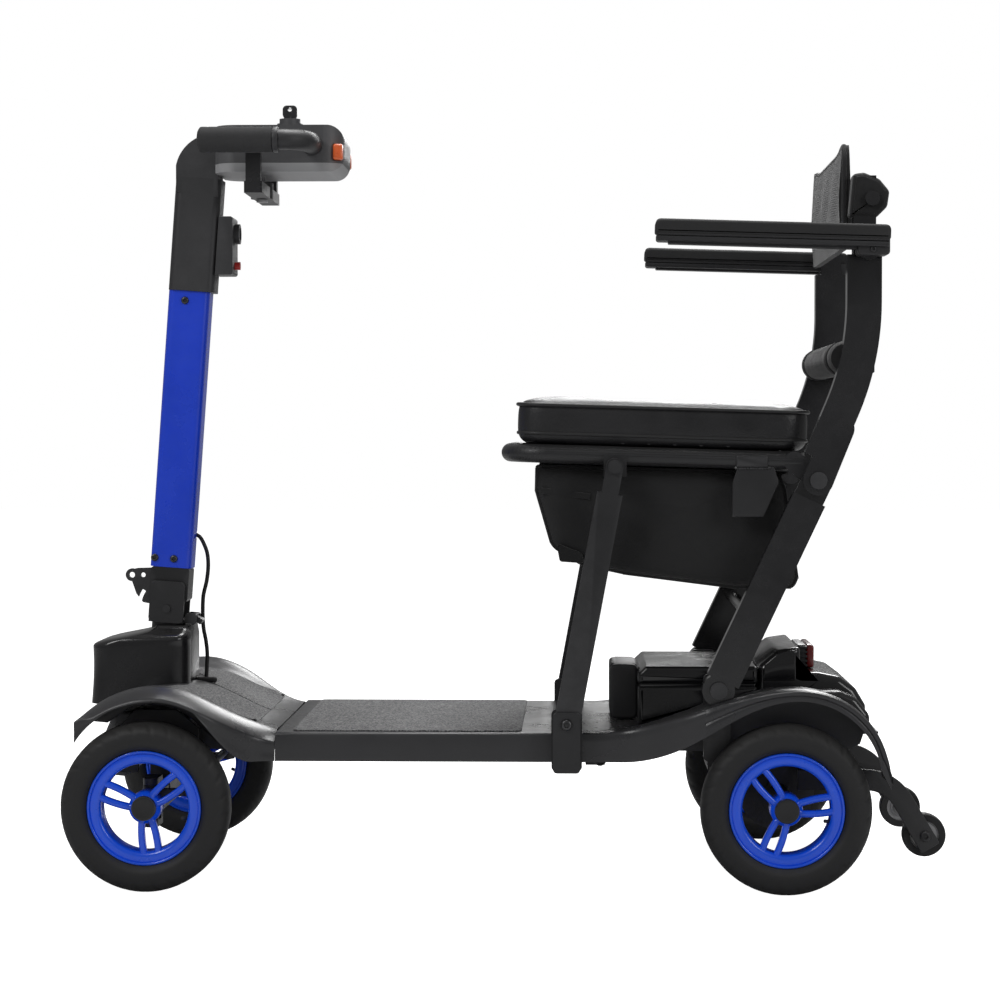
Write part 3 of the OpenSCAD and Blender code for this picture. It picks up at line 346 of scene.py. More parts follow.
def button_head(x, z, y, side, r=5.0, h=3.0):
    """Domed screw head with a sunk socket, standing on y towards the given side."""
    profile = [(0.05, 0), (r, 0), (r, h * 0.35), (r * 0.93, h * 0.7), (r * 0.75, h * 0.95), (r * 0.5, h),
               (r * 0.46, h * 0.9), (r * 0.44, h * 0.3), (0.05, h * 0.25)]
    return lathe([(a, y + side * b) for a, b in profile], x, z, 24)


def joined(*parts):
    """Several surfaces as one list of points and faces."""
    points, faces, base = [], [], 0
    for p, f in parts:
        points.append(np.asarray(p, float))
        faces += [[k + base for k in face] for face in f]
        base += len(p)
    return np.concatenate(points), faces


def mirrored(part):
    """The part and its mirror image across the middle plane."""
    points, faces = part
    return joined(part, (np.asarray(points) * [1, -1, 1], faces))


def moved(part, rule):
    """The part with its points put through a placing rule."""
    return rule(part[0]), part[1]


def add_piece(name, part, material, body, replaces=(), sharp=38, bevel=0.0, subdivide=0):
    """Make the object, turn its faces outwards, shade it, tie it to its body, and hide the frame nodes it
    replaces.
    """
    mesh = bpy.data.meshes.new(name)
    mesh.from_pydata((np.asarray(part[0]) * MM).tolist(), [], part[1])
    work = bmesh.new()
    work.from_mesh(mesh)
    bmesh.ops.remove_doubles(work, verts=work.verts, dist=1e-6)
    bmesh.ops.recalc_face_normals(work, faces=work.faces)
    work.to_mesh(mesh)
    work.free()
    mesh.shade_smooth()
    mesh.set_sharp_from_angle(angle=math.radians(sharp))
    mesh.materials.append(material)
    obj = bpy.data.objects.new(name, mesh)
    bpy.context.scene.collection.objects.link(obj)
    if bevel:
        mod = obj.modifiers.new("Edges", "BEVEL")
        mod.width, mod.segments, mod.limit_method = bevel * MM, 2, "ANGLE"
    if subdivide:
        mod = obj.modifiers.new("Smooth", "SUBSURF")
        mod.levels = mod.render_levels = subdivide
    if body:
        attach(obj, body)
    if replaces:
        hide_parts(*replaces)
    return obj


# ---- Shared effects, as node groups ----

def new_group(name, inputs, outputs):
    """Empty shader group with its sockets, and its input and output nodes."""
    tree = bpy.data.node_groups.new(name, "ShaderNodeTree")
    for label, kind, value in inputs:
        item = tree.interface.new_socket(label, in_out="INPUT", socket_type=kind)
        if value is not None:
            item.default_value = value
    for label, kind in outputs:
        tree.interface.new_socket(label, in_out="OUTPUT", socket_type=kind)
    return tree, tree.nodes.new("NodeGroupInput"), tree.nodes.new("NodeGroupOutput")


def node(tree, kind, links=None, **values):
    """Node with its settings; links gives sockets to join to its inputs, by name or number."""
    made = tree.nodes.new("ShaderNode" + kind)
    for key, value in values.items():
        if key.startswith("in_"):
            label = key[3:].replace("_", " ")
            made.inputs[int(label) if label.isdigit() else label].default_value = value
        else:
            setattr(made, key, value)
    for key, source in (links or {}).items():
        tree.links.new(source, made.inputs[key])
    return made


def object_noise(tree, scale_socket, detail=3.0, rough=0.55, stretch=None):
    """Noise over Object coordinates, stretched if asked."""
    place = node(tree, "TexCoord").outputs["Object"]
    if stretch:
        place = node(tree, "Mapping", {0: place}, in_Scale=stretch).outputs[0]
    links = {"Vector": place}
    if scale_socket is not None:
        links["Scale"] = scale_socket
    return node(tree, "TexNoise", links, in_Detail=detail, in_Roughness=rough)


def group_grain():
    """Moulded or painted grain: fine noise as a bump."""
    tree, gin, gout = new_group("Fine grain", [("Scale", "NodeSocketFloat", 900.0),
                                               ("Strength", "NodeSocketFloat", 0.1)],
                                [("Normal", "NodeSocketVector"), ("Height", "NodeSocketFloat")])
    noise = object_noise(tree, gin.outputs["Scale"], 4.0, 0.6)
    bump = node(tree, "Bump", {"Height": noise.outputs["Fac"], "Strength": gin.outputs["Strength"]},
                in_Distance=0.0006)
    tree.links.new(bump.outputs[0], gout.inputs["Normal"])
    tree.links.new(noise.outputs["Fac"], gout.inputs["Height"])
    return tree


def group_drift():
    """Slow change of tone over the surface, from the handling and the batch of material."""
    tree, gin, gout = new_group("Tone drift", [("Color", "NodeSocketColor", (0.5, 0.5, 0.5, 1)),
                                               ("Amount", "NodeSocketFloat", 0.15),
                                               ("Scale", "NodeSocketFloat", 9.0)],
                                [("Color", "NodeSocketColor"), ("Mask", "NodeSocketFloat")])
    noise = object_noise(tree, gin.outputs["Scale"], 5.0, 0.62)
    spread = node(tree, "MapRange", {"Value": noise.outputs["Fac"]}, in_1=0.3, in_2=0.7)
    low = node(tree, "Math", {0: gin.outputs["Amount"]}, operation="MULTIPLY", in_1=-1.0)
    span = node(tree, "Math", {0: gin.outputs["Amount"]}, operation="MULTIPLY", in_1=2.0)
    lift = node(tree, "Math", {0: spread.outputs[0], 1: span.outputs[0], 2: low.outputs[0]},
                operation="MULTIPLY_ADD")
    gain = node(tree, "Math", {0: lift.outputs[0]}, operation="ADD", in_1=1.0)
    scaled = node(tree, "VectorMath", {0: gin.outputs["Color"], 3: gain.outputs[0]}, operation="SCALE")
    tree.links.new(scaled.outputs[0], gout.inputs["Color"])
    tree.links.new(spread.outputs[0], gout.inputs["Mask"])
    return tree


def group_wear():
    """Rubbed edges: the surface's pointiness, broken up by noise, mixes in the worn colour."""
    tree, gin, gout = new_group("Edge wear", [("Color", "NodeSocketColor", (0.5, 0.5, 0.5, 1)),
                                              ("Worn", "NodeSocketColor", (0.6, 0.6, 0.6, 1)),
                                              ("Amount", "NodeSocketFloat", 0.3)],
                                [("Color", "NodeSocketColor"), ("Mask", "NodeSocketFloat")])
    edge = node(tree, "MapRange", {"Value": node(tree, "NewGeometry").outputs["Pointiness"]},
                in_1=0.52, in_2=0.62)
    noise = object_noise(tree, None, 5.0, 0.7)
    noise.inputs["Scale"].default_value = 60.0
    broken = node(tree, "Math", {0: edge.outputs[0], 1: noise.outputs["Fac"]}, operation="MULTIPLY")
    mask = node(tree, "Math", {0: broken.outputs[0], 1: gin.outputs["Amount"]}, operation="MULTIPLY")
    mix = node(tree, "Mix", {0: mask.outputs[0], 6: gin.outputs["Color"], 7: gin.outputs["Worn"]},
               data_type="RGBA")
    tree.links.new(mix.outputs[2], gout.inputs["Color"])
    tree.links.new(mask.outputs[0], gout.inputs["Mask"])
    return tree


def group_dust():
    """Dust that settles on faces turned upwards, in patches."""
    tree, gin, gout = new_group("Dust", [("Color", "NodeSocketColor", (0.5, 0.5, 0.5, 1)),
                                         ("Amount", "NodeSocketFloat", 0.1)],
                                [("Color", "NodeSocketColor"), ("Mask", "NodeSocketFloat")])
    up = node(tree, "SeparateXYZ", {0: node(tree, "NewGeometry").outputs["Normal"]})
    top = node(tree, "MapRange", {"Value": up.outputs["Z"]}, in_1=0.2, in_2=1.0)
    noise = object_noise(tree, None, 6.0, 0.7)
    noise.inputs["Scale"].default_value = 24.0
    patch = node(tree, "Math", {0: top.outputs[0], 1: noise.outputs["Fac"]}, operation="MULTIPLY")
    mask = node(tree, "Math", {0: patch.outputs[0], 1: gin.outputs["Amount"]}, operation="MULTIPLY")
    mix = node(tree, "Mix", {0: mask.outputs[0], 6: gin.outputs["Color"]}, data_type="RGBA",
               in_7=(0.32, 0.31, 0.29, 1))
    tree.links.new(mix.outputs[2], gout.inputs["Color"])
    tree.links.new(mask.outputs[0], gout.inputs["Mask"])
    return tree


def group_weave():
    """Plain weave: warp and weft waves that take turns on top, over Object coordinates."""
    tree, gin, gout = new_group("Weave", [("Scale", "NodeSocketFloat", 700.0),
                                          ("Strength", "NodeSocketFloat", 0.3)],
                                [("Normal", "NodeSocketVector"), ("Mask", "NodeSocketFloat")])
    parts = node(tree, "SeparateXYZ", {0: node(tree, "TexCoord").outputs["Object"]})
    along = node(tree, "Math", {0: parts.outputs["X"], 1: parts.outputs["Y"]}, operation="ADD")
    cross = node(tree, "Math", {0: parts.outputs["Z"], 1: parts.outputs["Y"]}, operation="SUBTRACT")
    waves = []
    for source in (along, cross):
        turn = node(tree, "Math", {0: source.outputs[0], 1: gin.outputs["Scale"]}, operation="MULTIPLY")
        waves.append(node(tree, "Math", {0: turn.outputs[0]}, operation="SINE"))
    product = node(tree, "Math", {0: waves[0].outputs[0], 1: waves[1].outputs[0]}, operation="MULTIPLY")
    height = node(tree, "MapRange", {"Value": product.outputs[0]}, in_1=-1.0, in_2=1.0)
    bump = node(tree, "Bump", {"Height": height.outputs[0], "Strength": gin.outputs["Strength"]},
                in_Distance=0.0008)
    tree.links.new(bump.outputs[0], gout.inputs["Normal"])
    tree.links.new(height.outputs[0], gout.inputs["Mask"])
    return tree


def group_leather():
    """Leather grain: small rounded cells with creases between them."""
    tree, gin, gout = new_group("Leather grain", [("Scale", "NodeSocketFloat", 420.0),
                                                  ("Strength", "NodeSocketFloat", 0.25)],
                                [("Normal", "NodeSocketVector"), ("Mask", "NodeSocketFloat")])
    place = node(tree, "TexCoord").outputs["Object"]
    cells = node(tree, "TexVoronoi", {"Vector": place, "Scale": gin.outputs["Scale"]})
    slow = object_noise(tree, None, 3.0, 0.5)
    slow.inputs["Scale"].default_value = 55.0
    height = node(tree, "Math", {0: cells.outputs["Distance"], 1: slow.outputs["Fac"]}, operation="MULTIPLY")
    bump = node(tree, "Bump", {"Height": height.outputs[0], "Strength": gin.outputs["Strength"]},
                in_Distance=0.0012)
    tree.links.new(bump.outputs[0], gout.inputs["Normal"])
    tree.links.new(slow.outputs["Fac"], gout.inputs["Mask"])
    return tree


def group_grit():
    """Grit bonded into a rubber mat: light and dark specks, raised."""
    tree, gin, gout = new_group("Grit", [("Color", "NodeSocketColor", (0.1, 0.1, 0.1, 1)),
                                         ("Speck", "NodeSocketColor", (0.3, 0.3, 0.3, 1)),
                                         ("Scale", "NodeSocketFloat", 420.0)],
                                [("Color", "NodeSocketColor"), ("Normal", "NodeSocketVector")])
    noise = object_noise(tree, gin.outputs["Scale"], 2.0, 0.7)
    speck = node(tree, "MapRange", {"Value": noise.outputs["Fac"]}, in_1=0.42, in_2=0.66)
    mix = node(tree, "Mix", {0: speck.outputs[0], 6: gin.outputs["Color"], 7: gin.outputs["Speck"]},
               data_type="RGBA")
    bump = node(tree, "Bump", {"Height": noise.outputs["Fac"]}, in_Strength=0.6, in_Distance=0.001)
    tree.links.new(mix.outputs[2], gout.inputs["Color"])
    tree.links.new(bump.outputs[0], gout.inputs["Normal"])
    return tree


GROUP_MAKERS = {"Fine grain": group_grain, "Tone drift": group_drift, "Edge wear": group_wear,
                "Dust": group_dust, "Weave": group_weave, "Leather grain": group_leather,
                "Grit": group_grit}


def effect(tree, name, links=None, **values):
    """One shared effect placed in a material with its own values."""
    made = tree.nodes.new("ShaderNodeGroup")
    made.node_tree = bpy.data.node_groups.get(name) or GROUP_MAKERS[name]()
    for key, value in values.items():
        made.inputs[key].default_value = value
    for key, source in (links or {}).items():
        tree.links.new(source, made.inputs[key])
    return made


def finish(name, colour, rough, metal=0.0, coat=0.0, sheen=0.0, specular=0.5, grain=(900.0, 0.12),
           drift=0.12, wear=0.3, worn=(0.35, 0.35, 0.35, 1), dust=0.1, surface=None, surface_values=None,
           speck=None, rough_swing=0.12, painted_glow=None):
    """Principled material: toned colour, worn edges, dust, uneven roughness, a surface bump, and a faint
    painted glow where one is given.
    """
    label = "paint_" + name
    if label in bpy.data.materials:
        return bpy.data.materials[label]
    made = bpy.data.materials.new(label)
    made.use_nodes = True
    made.diffuse_color = colour
    tree = made.node_tree
    shader = tree.nodes["Principled BSDF"]
    shader.inputs["Metallic"].default_value = metal
    shader.inputs["Coat Weight"].default_value = coat
    shader.inputs["Coat Roughness"].default_value = 0.12
    shader.inputs["Sheen Weight"].default_value = sheen
    shader.inputs["Sheen Roughness"].default_value = 0.5
    shader.inputs["Specular IOR Level"].default_value = specular
    toned = effect(tree, "Tone drift", Color=colour, Amount=drift, Scale=9.0)
    colour_out, normal_out = toned.outputs["Color"], None
    if speck:
        grit = effect(tree, "Grit", {"Color": colour_out}, Speck=speck)
        colour_out, normal_out = grit.outputs["Color"], grit.outputs["Normal"]
    rubbed = effect(tree, "Edge wear", {"Color": colour_out}, Worn=worn, Amount=wear)
    dusty = effect(tree, "Dust", {"Color": rubbed.outputs["Color"]}, Amount=dust)
    tree.links.new(dusty.outputs["Color"], shader.inputs["Base Color"])
    swing = node(tree, "MapRange", {"Value": toned.outputs["Mask"]}, in_3=max(rough - rough_swing, 0.03),
                 in_4=min(rough + rough_swing, 1.0))
    tree.links.new(swing.outputs[0], shader.inputs["Roughness"])
    if normal_out is None:
        if surface:
            pattern = effect(tree, surface, **(surface_values or {}))
        else:
            pattern = effect(tree, "Fine grain", Scale=grain[0], Strength=grain[1])
        normal_out = pattern.outputs["Normal"]
    tree.links.new(normal_out, shader.inputs["Normal"])
    # Painted light: a faint emission that makes the part look lit, though it is no lamp.
    if painted_glow:
        shader.inputs["Emission Color"].default_value = painted_glow
        shader.inputs["Emission Strength"].default_value = 0.15
    return made


def blue_paint(name, colour):
    """Gloss blue lacquer over metal flake."""
    return finish(name, tuple(colour), 0.28, coat=0.6, grain=(1600.0, 0.05), drift=0.1, wear=0.25,
                  worn=(0.05, 0.12, 0.5, 1), dust=0.03)


FINISHES = {
    "powder_black": lambda: finish("powder_black", srgb(34, 34, 36), 0.42, specular=0.55,
                                   grain=(1500.0, 0.22), wear=0.4, worn=srgb(96, 96, 98)),
    "gloss_black": lambda: finish("gloss_black", srgb(24, 24, 26), 0.2, coat=0.35, grain=(800.0, 0.04),
                                  wear=0.2, worn=srgb(84, 84, 86)),
    "satin_black": lambda: finish("satin_black", srgb(30, 30, 32), 0.36, grain=(700.0, 0.06), wear=0.3,
                                  worn=srgb(90, 90, 92)),
    "moulded_black": lambda: finish("moulded_black", srgb(38, 38, 40), 0.5, grain=(1300.0, 0.3), wear=0.25,
                                    worn=srgb(88, 88, 90)),
    "casing_black": lambda: finish("casing_black", srgb(48, 48, 50), 0.46, grain=(1200.0, 0.24), wear=0.25,
                                   worn=srgb(104, 104, 106)),
    "body_grey": lambda: finish("body_grey", srgb(50, 50, 52), 0.33, grain=(1100.0, 0.14), wear=0.12,
                                worn=srgb(90, 90, 92), drift=0.08, dust=0.04),
    "console_grey": lambda: finish("console_grey", srgb(80, 80, 82), 0.45, grain=(1200.0, 0.22), wear=0.25,
                                   worn=srgb(132, 132, 134)),
    "pale_grey": lambda: finish("pale_grey", srgb(158, 158, 160), 0.45, grain=(1000.0, 0.15), wear=0.2,
                                worn=srgb(200, 200, 200)),
    "mat_grit": lambda: finish("mat_grit", srgb(58, 58, 60), 0.8, specular=0.3, speck=srgb(132, 132, 132),
                               wear=0.0, dust=0.05),
    "tyre_rubber": lambda: finish("tyre_rubber", srgb(36, 36, 37), 0.62, specular=0.4, grain=(700.0, 0.25),
                                  wear=0.2, worn=srgb(70, 70, 70), dust=0.16, drift=0.2),
    "grip_foam": lambda: finish("grip_foam", srgb(62, 62, 63), 0.88, specular=0.25, grain=(1400.0, 0.6),
                                wear=0.0, dust=0.04),
    "vinyl": lambda: finish("vinyl", srgb(28, 28, 30), 0.4, specular=0.5, surface="Leather grain",
                            surface_values={"Scale": 520.0, "Strength": 0.4}, wear=0.1, drift=0.12,
                            dust=0.08),
    "bag_cloth": lambda: finish("bag_cloth", srgb(30, 30, 31), 0.72, specular=0.3, sheen=0.25,
                                surface="Weave", surface_values={"Scale": 3600.0, "Strength": 0.5},
                                wear=0.0, drift=0.18),
    "mesh_cloth": lambda: finish("mesh_cloth", srgb(46, 46, 47), 0.8, specular=0.25, sheen=0.3,
                                 surface="Weave", surface_values={"Scale": 2400.0, "Strength": 0.7},
                                 wear=0.0, drift=0.15),
    "piping": lambda: finish("piping", srgb(30, 30, 31), 0.45, grain=(1600.0, 0.2), wear=0.1),
    "webbing": lambda: finish("webbing", srgb(26, 26, 27), 0.7, surface="Weave",
                              surface_values={"Scale": 4200.0, "Strength": 0.6}, wear=0.0),
    "bright_steel": lambda: finish("bright_steel", srgb(186, 186, 188), 0.22, metal=1.0, grain=(1800.0, 0.05),
                                   wear=0.2, worn=srgb(225, 225, 225), dust=0.03),
    "dark_steel": lambda: finish("dark_steel", srgb(72, 72, 74), 0.35, metal=0.9, grain=(1500.0, 0.12),
                                 wear=0.4, worn=srgb(150, 150, 150)),
    "cast_alloy": lambda: finish("cast_alloy", srgb(66, 66, 68), 0.5, metal=0.7, grain=(600.0, 0.4), wear=0.4,
                                 worn=srgb(130, 130, 130)),
    # The orange reflector lens carries a faint painted glow, as if lit; a reflector is no lamp.
    "orange_lens": lambda: finish("orange_lens", srgb(224, 104, 52), 0.3, coat=0.5, grain=(500.0, 0.1),
                                  wear=0.0, dust=0.02, painted_glow=srgb(220, 96, 40)),
    "red_lens": lambda: finish("red_lens", srgb(110, 14, 14), 0.22, coat=0.6, grain=(500.0, 0.1), wear=0.0,
                               dust=0.02),
    "red_plastic": lambda: finish("red_plastic", srgb(196, 30, 26), 0.35, grain=(900.0, 0.1), wear=0.1),
    "cable_jacket": lambda: finish("cable_jacket", srgb(20, 20, 21), 0.5, grain=(1500.0, 0.2), wear=0.05),
    "rubber_pad": lambda: finish("rubber_pad", srgb(34, 34, 35), 0.7, grain=(900.0, 0.3), wear=0.1),
}


def material(name):
    """A finish by name; the two blues take their colours from the panel."""
    colours = bpy.context.scene.scooter_colours
    if name == "tube_blue":
        return blue_paint(name, colours.tube_blue)
    if name == "rim_blue":
        return blue_paint(name, colours.rim_blue)
    return FINISHES[name]()


# ---- Stage ----

CABLE_ROUTE = [(-397, 411), (-391, 407), (-386, 398), (-382, 386), (-381, 370), (-383, 352), (-387, 335),
               (-388, 322), (-388, 308), (-387, 292), (-384, 276), (-382.5, 260), (-383, 246), (-384, 226)]
CABLE_Y = 14.0
CABLE_SPLIT = 7


class SCOOTER_OT_stage(Operator):
    """Place the camera, the floor, the backdrop light and the studio lamps"""
    bl_idname = "scooter.stage"
    bl_label = "Stage"

    def execute(self, context):
        scene = context.scene
        lens = bpy.data.cameras.new("camera")
        lens.sensor_width, lens.lens = 36.0, 91.8
        lens.clip_start, lens.clip_end = 0.05, 60.0
        camera = bpy.data.objects.new("camera", lens)
        camera.location = (0.0835, -3.175, 0.5417)
        camera.rotation_euler = (math.radians(90 - 1.573), 0, math.radians(1.752))
        scene.collection.objects.link(camera)
        scene.camera = camera
        scene.view_settings.view_transform = "Standard"

        floor_mesh = bpy.data.meshes.new("floor")
        size = 14.0
        floor_mesh.from_pydata([(-size, -size, 0), (size, -size, 0), (size, size, 0), (-size, size, 0)], [],
                               [(0, 1, 2, 3)])
        floor = bpy.data.objects.new("floor", floor_mesh)
        scene.collection.objects.link(floor)
        paint = bpy.data.materials.new("floor_paint")
        paint.use_nodes = True
        shader = paint.node_tree.nodes["Principled BSDF"]
        shader.inputs["Base Color"].default_value = (0.6, 0.6, 0.6, 1)
        shader.inputs["Roughness"].default_value = 0.7
        shader.inputs["Emission Color"].default_value = (1, 1, 1, 1)
        paint.node_tree.links.new(paint.node_tree.nodes.new("ShaderNodeLightPath").outputs["Is Camera Ray"],
                                  shader.inputs["Emission Strength"])
        floor_mesh.materials.append(paint)

        world = bpy.data.worlds.new("studio")
        world.use_nodes = True
        tree = world.node_tree
        seen = tree.nodes.new("ShaderNodeLightPath").outputs["Is Camera Ray"]
        level = node(tree, "MapRange", {"Value": seen}, in_3=0.2, in_4=1.0)
        tree.links.new(level.outputs[0], tree.nodes["Background"].inputs[1])
        tree.nodes["Background"].inputs[0].default_value = (1, 1, 1, 1)
        scene.world = world

        lamps = (("key", (-2.2, -2.6, 2.8), (0, 0, 0.45), 1.4, 42.0),
                 ("fill", (2.6, -2.4, 1.6), (0, 0, 0.4), 1.2, 20.0),
                 ("top", (0.1, 0.4, 3.0), (0, 0, 0.3), 1.2, 55.0),
                 ("back", (0.6, 2.6, 1.9), (0, 0, 0.5), 1.4, 45.0))
        for name, place, aim, size, power in lamps:
            data = bpy.data.lights.new(name, "AREA")
            data.size, data.energy = size, power
            lamp = bpy.data.objects.new(name, data)
            lamp.location = place
            way = Vector(aim) - Vector(place)
            lamp.rotation_euler = way.to_track_quat("-Z", "Y").to_euler()
            scene.collection.objects.link(lamp)
        return {"FINISHED"}


class SCOOTER_OT_cable(Operator):
    """Run the control lead from the tiller down to its grommet in the front section"""
    bl_idname = "scooter.cable"
    bl_label = "Control lead"

    def execute(self, context):
        route = [(x, CABLE_Y, z) for x, z in CABLE_ROUTE]
        spans = (("cable_upper", route[:CABLE_SPLIT + 1], "tiller", "steering", 4),
                 ("cable_lower", route[CABLE_SPLIT:], "steering", "chassis", 20))
        radius = context.scene.scooter_colours.lead_diameter / 2 / MM
        for name, points, body, other, bends_at in spans:
            path = smooth_path(points, 40)
            lead = add_piece("lead_" + name[6:], tube(path, radius, 14), material("cable_jacket"), None,
                             [name])
            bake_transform(lead)
        return {"FINISHED"}


# ---- Wheels ----

def tyre_surface(x, side, n=224):
    """Rounded section turned about the axle: flat crown, ridge on the wall, sipes at the shoulder."""
    phi = np.linspace(0, 2 * np.pi, 44, endpoint=False)
    theta = np.linspace(0, 2 * np.pi, n, endpoint=False)[:, None]
    c, s = np.cos(phi), np.sin(phi)
    axial = 25.0 * np.sign(c) * np.abs(c) ** 0.72
    radial = 80 + np.where(s > 0, 20.0, 14.5) * np.sign(s) * np.abs(s) ** 0.82
    lift = 1.0 * bell(radial - 88.5, 0.9) - 0.5 * bell(radial - 86, 1.4)
    axial = axial + np.sign(axial) * np.minimum(lift, 25.0 - np.abs(axial)) * (np.abs(axial) > 8)
    shoulder = bell(np.abs(axial) - 18.5, 5.5) * (s > 0.2)
    lobes = np.cos(28 * theta + np.sign(axial) * (0.22 * (np.abs(axial) - 10)))
    cut = 1.5 * shoulder * np.clip((lobes - 0.86) / 0.1, 0, 1)
    groove = 0.7 * (bell(np.abs(axial) - 7, 0.9) * (s > 0))
    r = radial - cut - groove
    y = side * (WHEEL_Y + axial * (1 - 0.03 * cut))
    points = [x + r * np.cos(theta), np.broadcast_to(y, r.shape), AXLE_Z + r * np.sin(theta)]
    return skin(np.stack(points, -1), wrap_rows=True)


def rim_surface(x, side, turn):
    """Rolled ring, hub and three chain-link spokes, each a round bar carried along a long loop."""
    section = rounded_rect(15.5, 33.0, 5.5, 6) + [59.3, 0]
    parts = [ring([(r, side * WHEEL_Y + a) for r, a in section], x, AXLE_Z, 120)]
    lip = rounded_rect(3.4, 37.0, 1.6, 4) + [65.6, 0]
    parts.append(ring([(r, side * WHEEL_Y + a) for r, a in lip], x, AXLE_Z, 120))
    depth = side * (WHEEL_Y + 9.0)
    wave = np.linspace(0, 2 * np.pi, 96, endpoint=False)
    stretch = np.stack([34.5 + 12.5 * np.clip(1.6 * np.cos(wave), -1, 1) + 9.6 * np.cos(wave) * 0.98,
                        (8.6 + 2.2 * np.cos(wave)) * np.sign(np.sin(wave)) * np.abs(np.sin(wave)) ** 0.7], -1)
    for k in range(3):
        a = math.radians(turn + 120 * k)
        u, v = np.array([math.cos(a), math.sin(a)]), np.array([-math.sin(a), math.cos(a)])
        flat = stretch[:, :1] * u + stretch[:, 1:] * v
        centre = np.stack([x + flat[:, 0], np.full(len(flat), depth), AXLE_Z + flat[:, 1]], -1)
        parts.append(closed_loop(centre, rounded_rect(8.0, 12.0, 3.4, 5), (0, 1, 0), (0, 1, 0)))
    y = side * WHEEL_Y
    hub = [(0.05, -16), (17, -16), (19, -14), (19, 10), (17.4, 13), (14.6, 15), (14.2, 15.6), (0.05, 15.6)]
    parts.append(lathe([(r, y + side * a) for r, a in hub], x, AXLE_Z, 64))
    return joined(*parts)


def cap_surface(x, side):
    """Dished axle cap with a raised rim."""
    y = side * WHEEL_Y
    profile = [(0.05, 14), (14.4, 14), (14.4, 20.6), (13.6, 22.0), (12.4, 22.4), (11.0, 22.2), (0.05, 22.2)]
    return lathe([(r, y + side * a) for r, a in profile], x, AXLE_Z, 48)


class SCOOTER_OT_wheels(Operator):
    """Make the four wheels: sculpted tyres, rolled rims with loop spokes, and caps"""
    bl_idname = "scooter.wheels"
    bl_label = "Wheels"

    def execute(self, context):
        wheels = (("fl", AXLE_FRONT, -1, 38), ("fr", AXLE_FRONT, 1, 20), ("rl", AXLE_REAR, -1, 8),
                  ("rr", AXLE_REAR, 1, 50))
        for tag, x, side, turn in wheels:
            body = "wheel_" + tag
            add_piece("tyre_rubber_" + tag, tyre_surface(x, side), material("tyre_rubber"), body,
                      ["tyre_" + tag], sharp=50)
            add_piece("rim_loops_" + tag, rim_surface(x, side, turn), material("rim_blue"), body,
                      ["rim_" + tag], sharp=50)
            add_piece("axle_cap_" + tag, cap_surface(x, side), material("satin_black"), body,
                            ["shaft_" + tag] if tag in ("rl", "rr") else ())
            if tag in ("rl", "rr"):
                y = side * WHEEL_Y
                stub = pin(x, AXLE_Z, y - side * 80, y + side * 14, 8, 32)
                add_piece("stub_shaft_" + tag, stub, material("dark_steel"), body)
            valve = tube(np.linspace((x + 52, side * (WHEEL_Y + 4), AXLE_Z - 14),
                                     (x + 44, side * (WHEEL_Y + 12), AXLE_Z - 12), 8), 2.2, 10)
            add_piece("valve_" + tag, valve, material("rubber_pad"), body)
        return {"FINISHED"}


class SCOOTER_OT_tip_wheels(Operator):
    """Make the two anti-tip arms, bent down to their small wheels, with the axle bolts"""
    bl_idname = "scooter.tip_wheels"
    bl_label = "Anti-tip wheels"

    def execute(self, context):
        turn = math.radians(59.5)
        bow, r, run = np.array([428.0, 74.0]), 50.0, 66.0
        half = 12.5
        way, out = np.array([math.cos(turn), -math.sin(turn)]), np.array([math.sin(turn), math.cos(turn)])
        foot = fillet([bow + (r + half) * out, bow + (r + half) * out + run * way,
                       bow + (r - half) * out + run * way, bow + (r - half) * out], 3, 5)[5:-5]
        outline = np.concatenate([[[346, bow[1] + r + half]],
                                  bow + arc(0, 0, r + half, 90, 30.5, 16), foot,
                                  bow + arc(0, 0, r - half, 30.5, 90, 16), [[346, bow[1] + r - half]]])
        arms = [mirrored(slab(outline, 124.6, 131, 1.2)),
                mirrored(block((352, 82, 117), (392, 127, 131), 3, 1.5)),
                mirrored(block((352, 82, 128), (392, 103, 153), 3, 1.5))]
        for side in SIDES:
            arms.append(pin(*TIP, side * 100, side * 128, 4))
            arms.append(pin(*TIP, side * 100, side * 103.6, 7, 6))
        add_piece("tip_arms", joined(*arms), material("powder_black"), "chassis",
                  ["antitip_arms"])
        bolts = [button_head(TIP[0], TIP[1], side * 131, side, 6.5, 3.6) for side in SIDES]
        add_piece("tip_bolts", joined(*bolts), material("satin_black"), "chassis")
        for name, side in (("left", -1), ("right", 1)):
            tread = [(17, 1.5), (24.5, 0.6), (25.6, 2.2), (26, 10), (25.6, 17.8), (24.5, 19.4), (17, 18.5)]
            disc = [(4.1, 1.2), (7.5, 0.8), (8.6, 2.0), (9.6, 3.2), (11.5, 3.4), (12.2, 2.4),
                    (13, 3.6), (15.6, 3.8), (16.6, 2.0), (17.4, 2.2), (17.4, 17.8), (16.6, 18),
                    (15.6, 16.2), (9.6, 16.8), (7.5, 19.2), (4.1, 18.8)]
            body = "antitip_wheel_" + name
            add_piece("tip_tread_" + name, ring([(a, side * (104 + b)) for a, b in tread], *TIP, 64),
                      material("tyre_rubber"), body, ["antitip_wheel_" + name])
            add_piece("tip_disc_" + name, ring([(a, side * (104 + b)) for a, b in disc], *TIP, 64),
                      material("pale_grey"), body)
        return {"FINISHED"}


# ---- Body panels ----

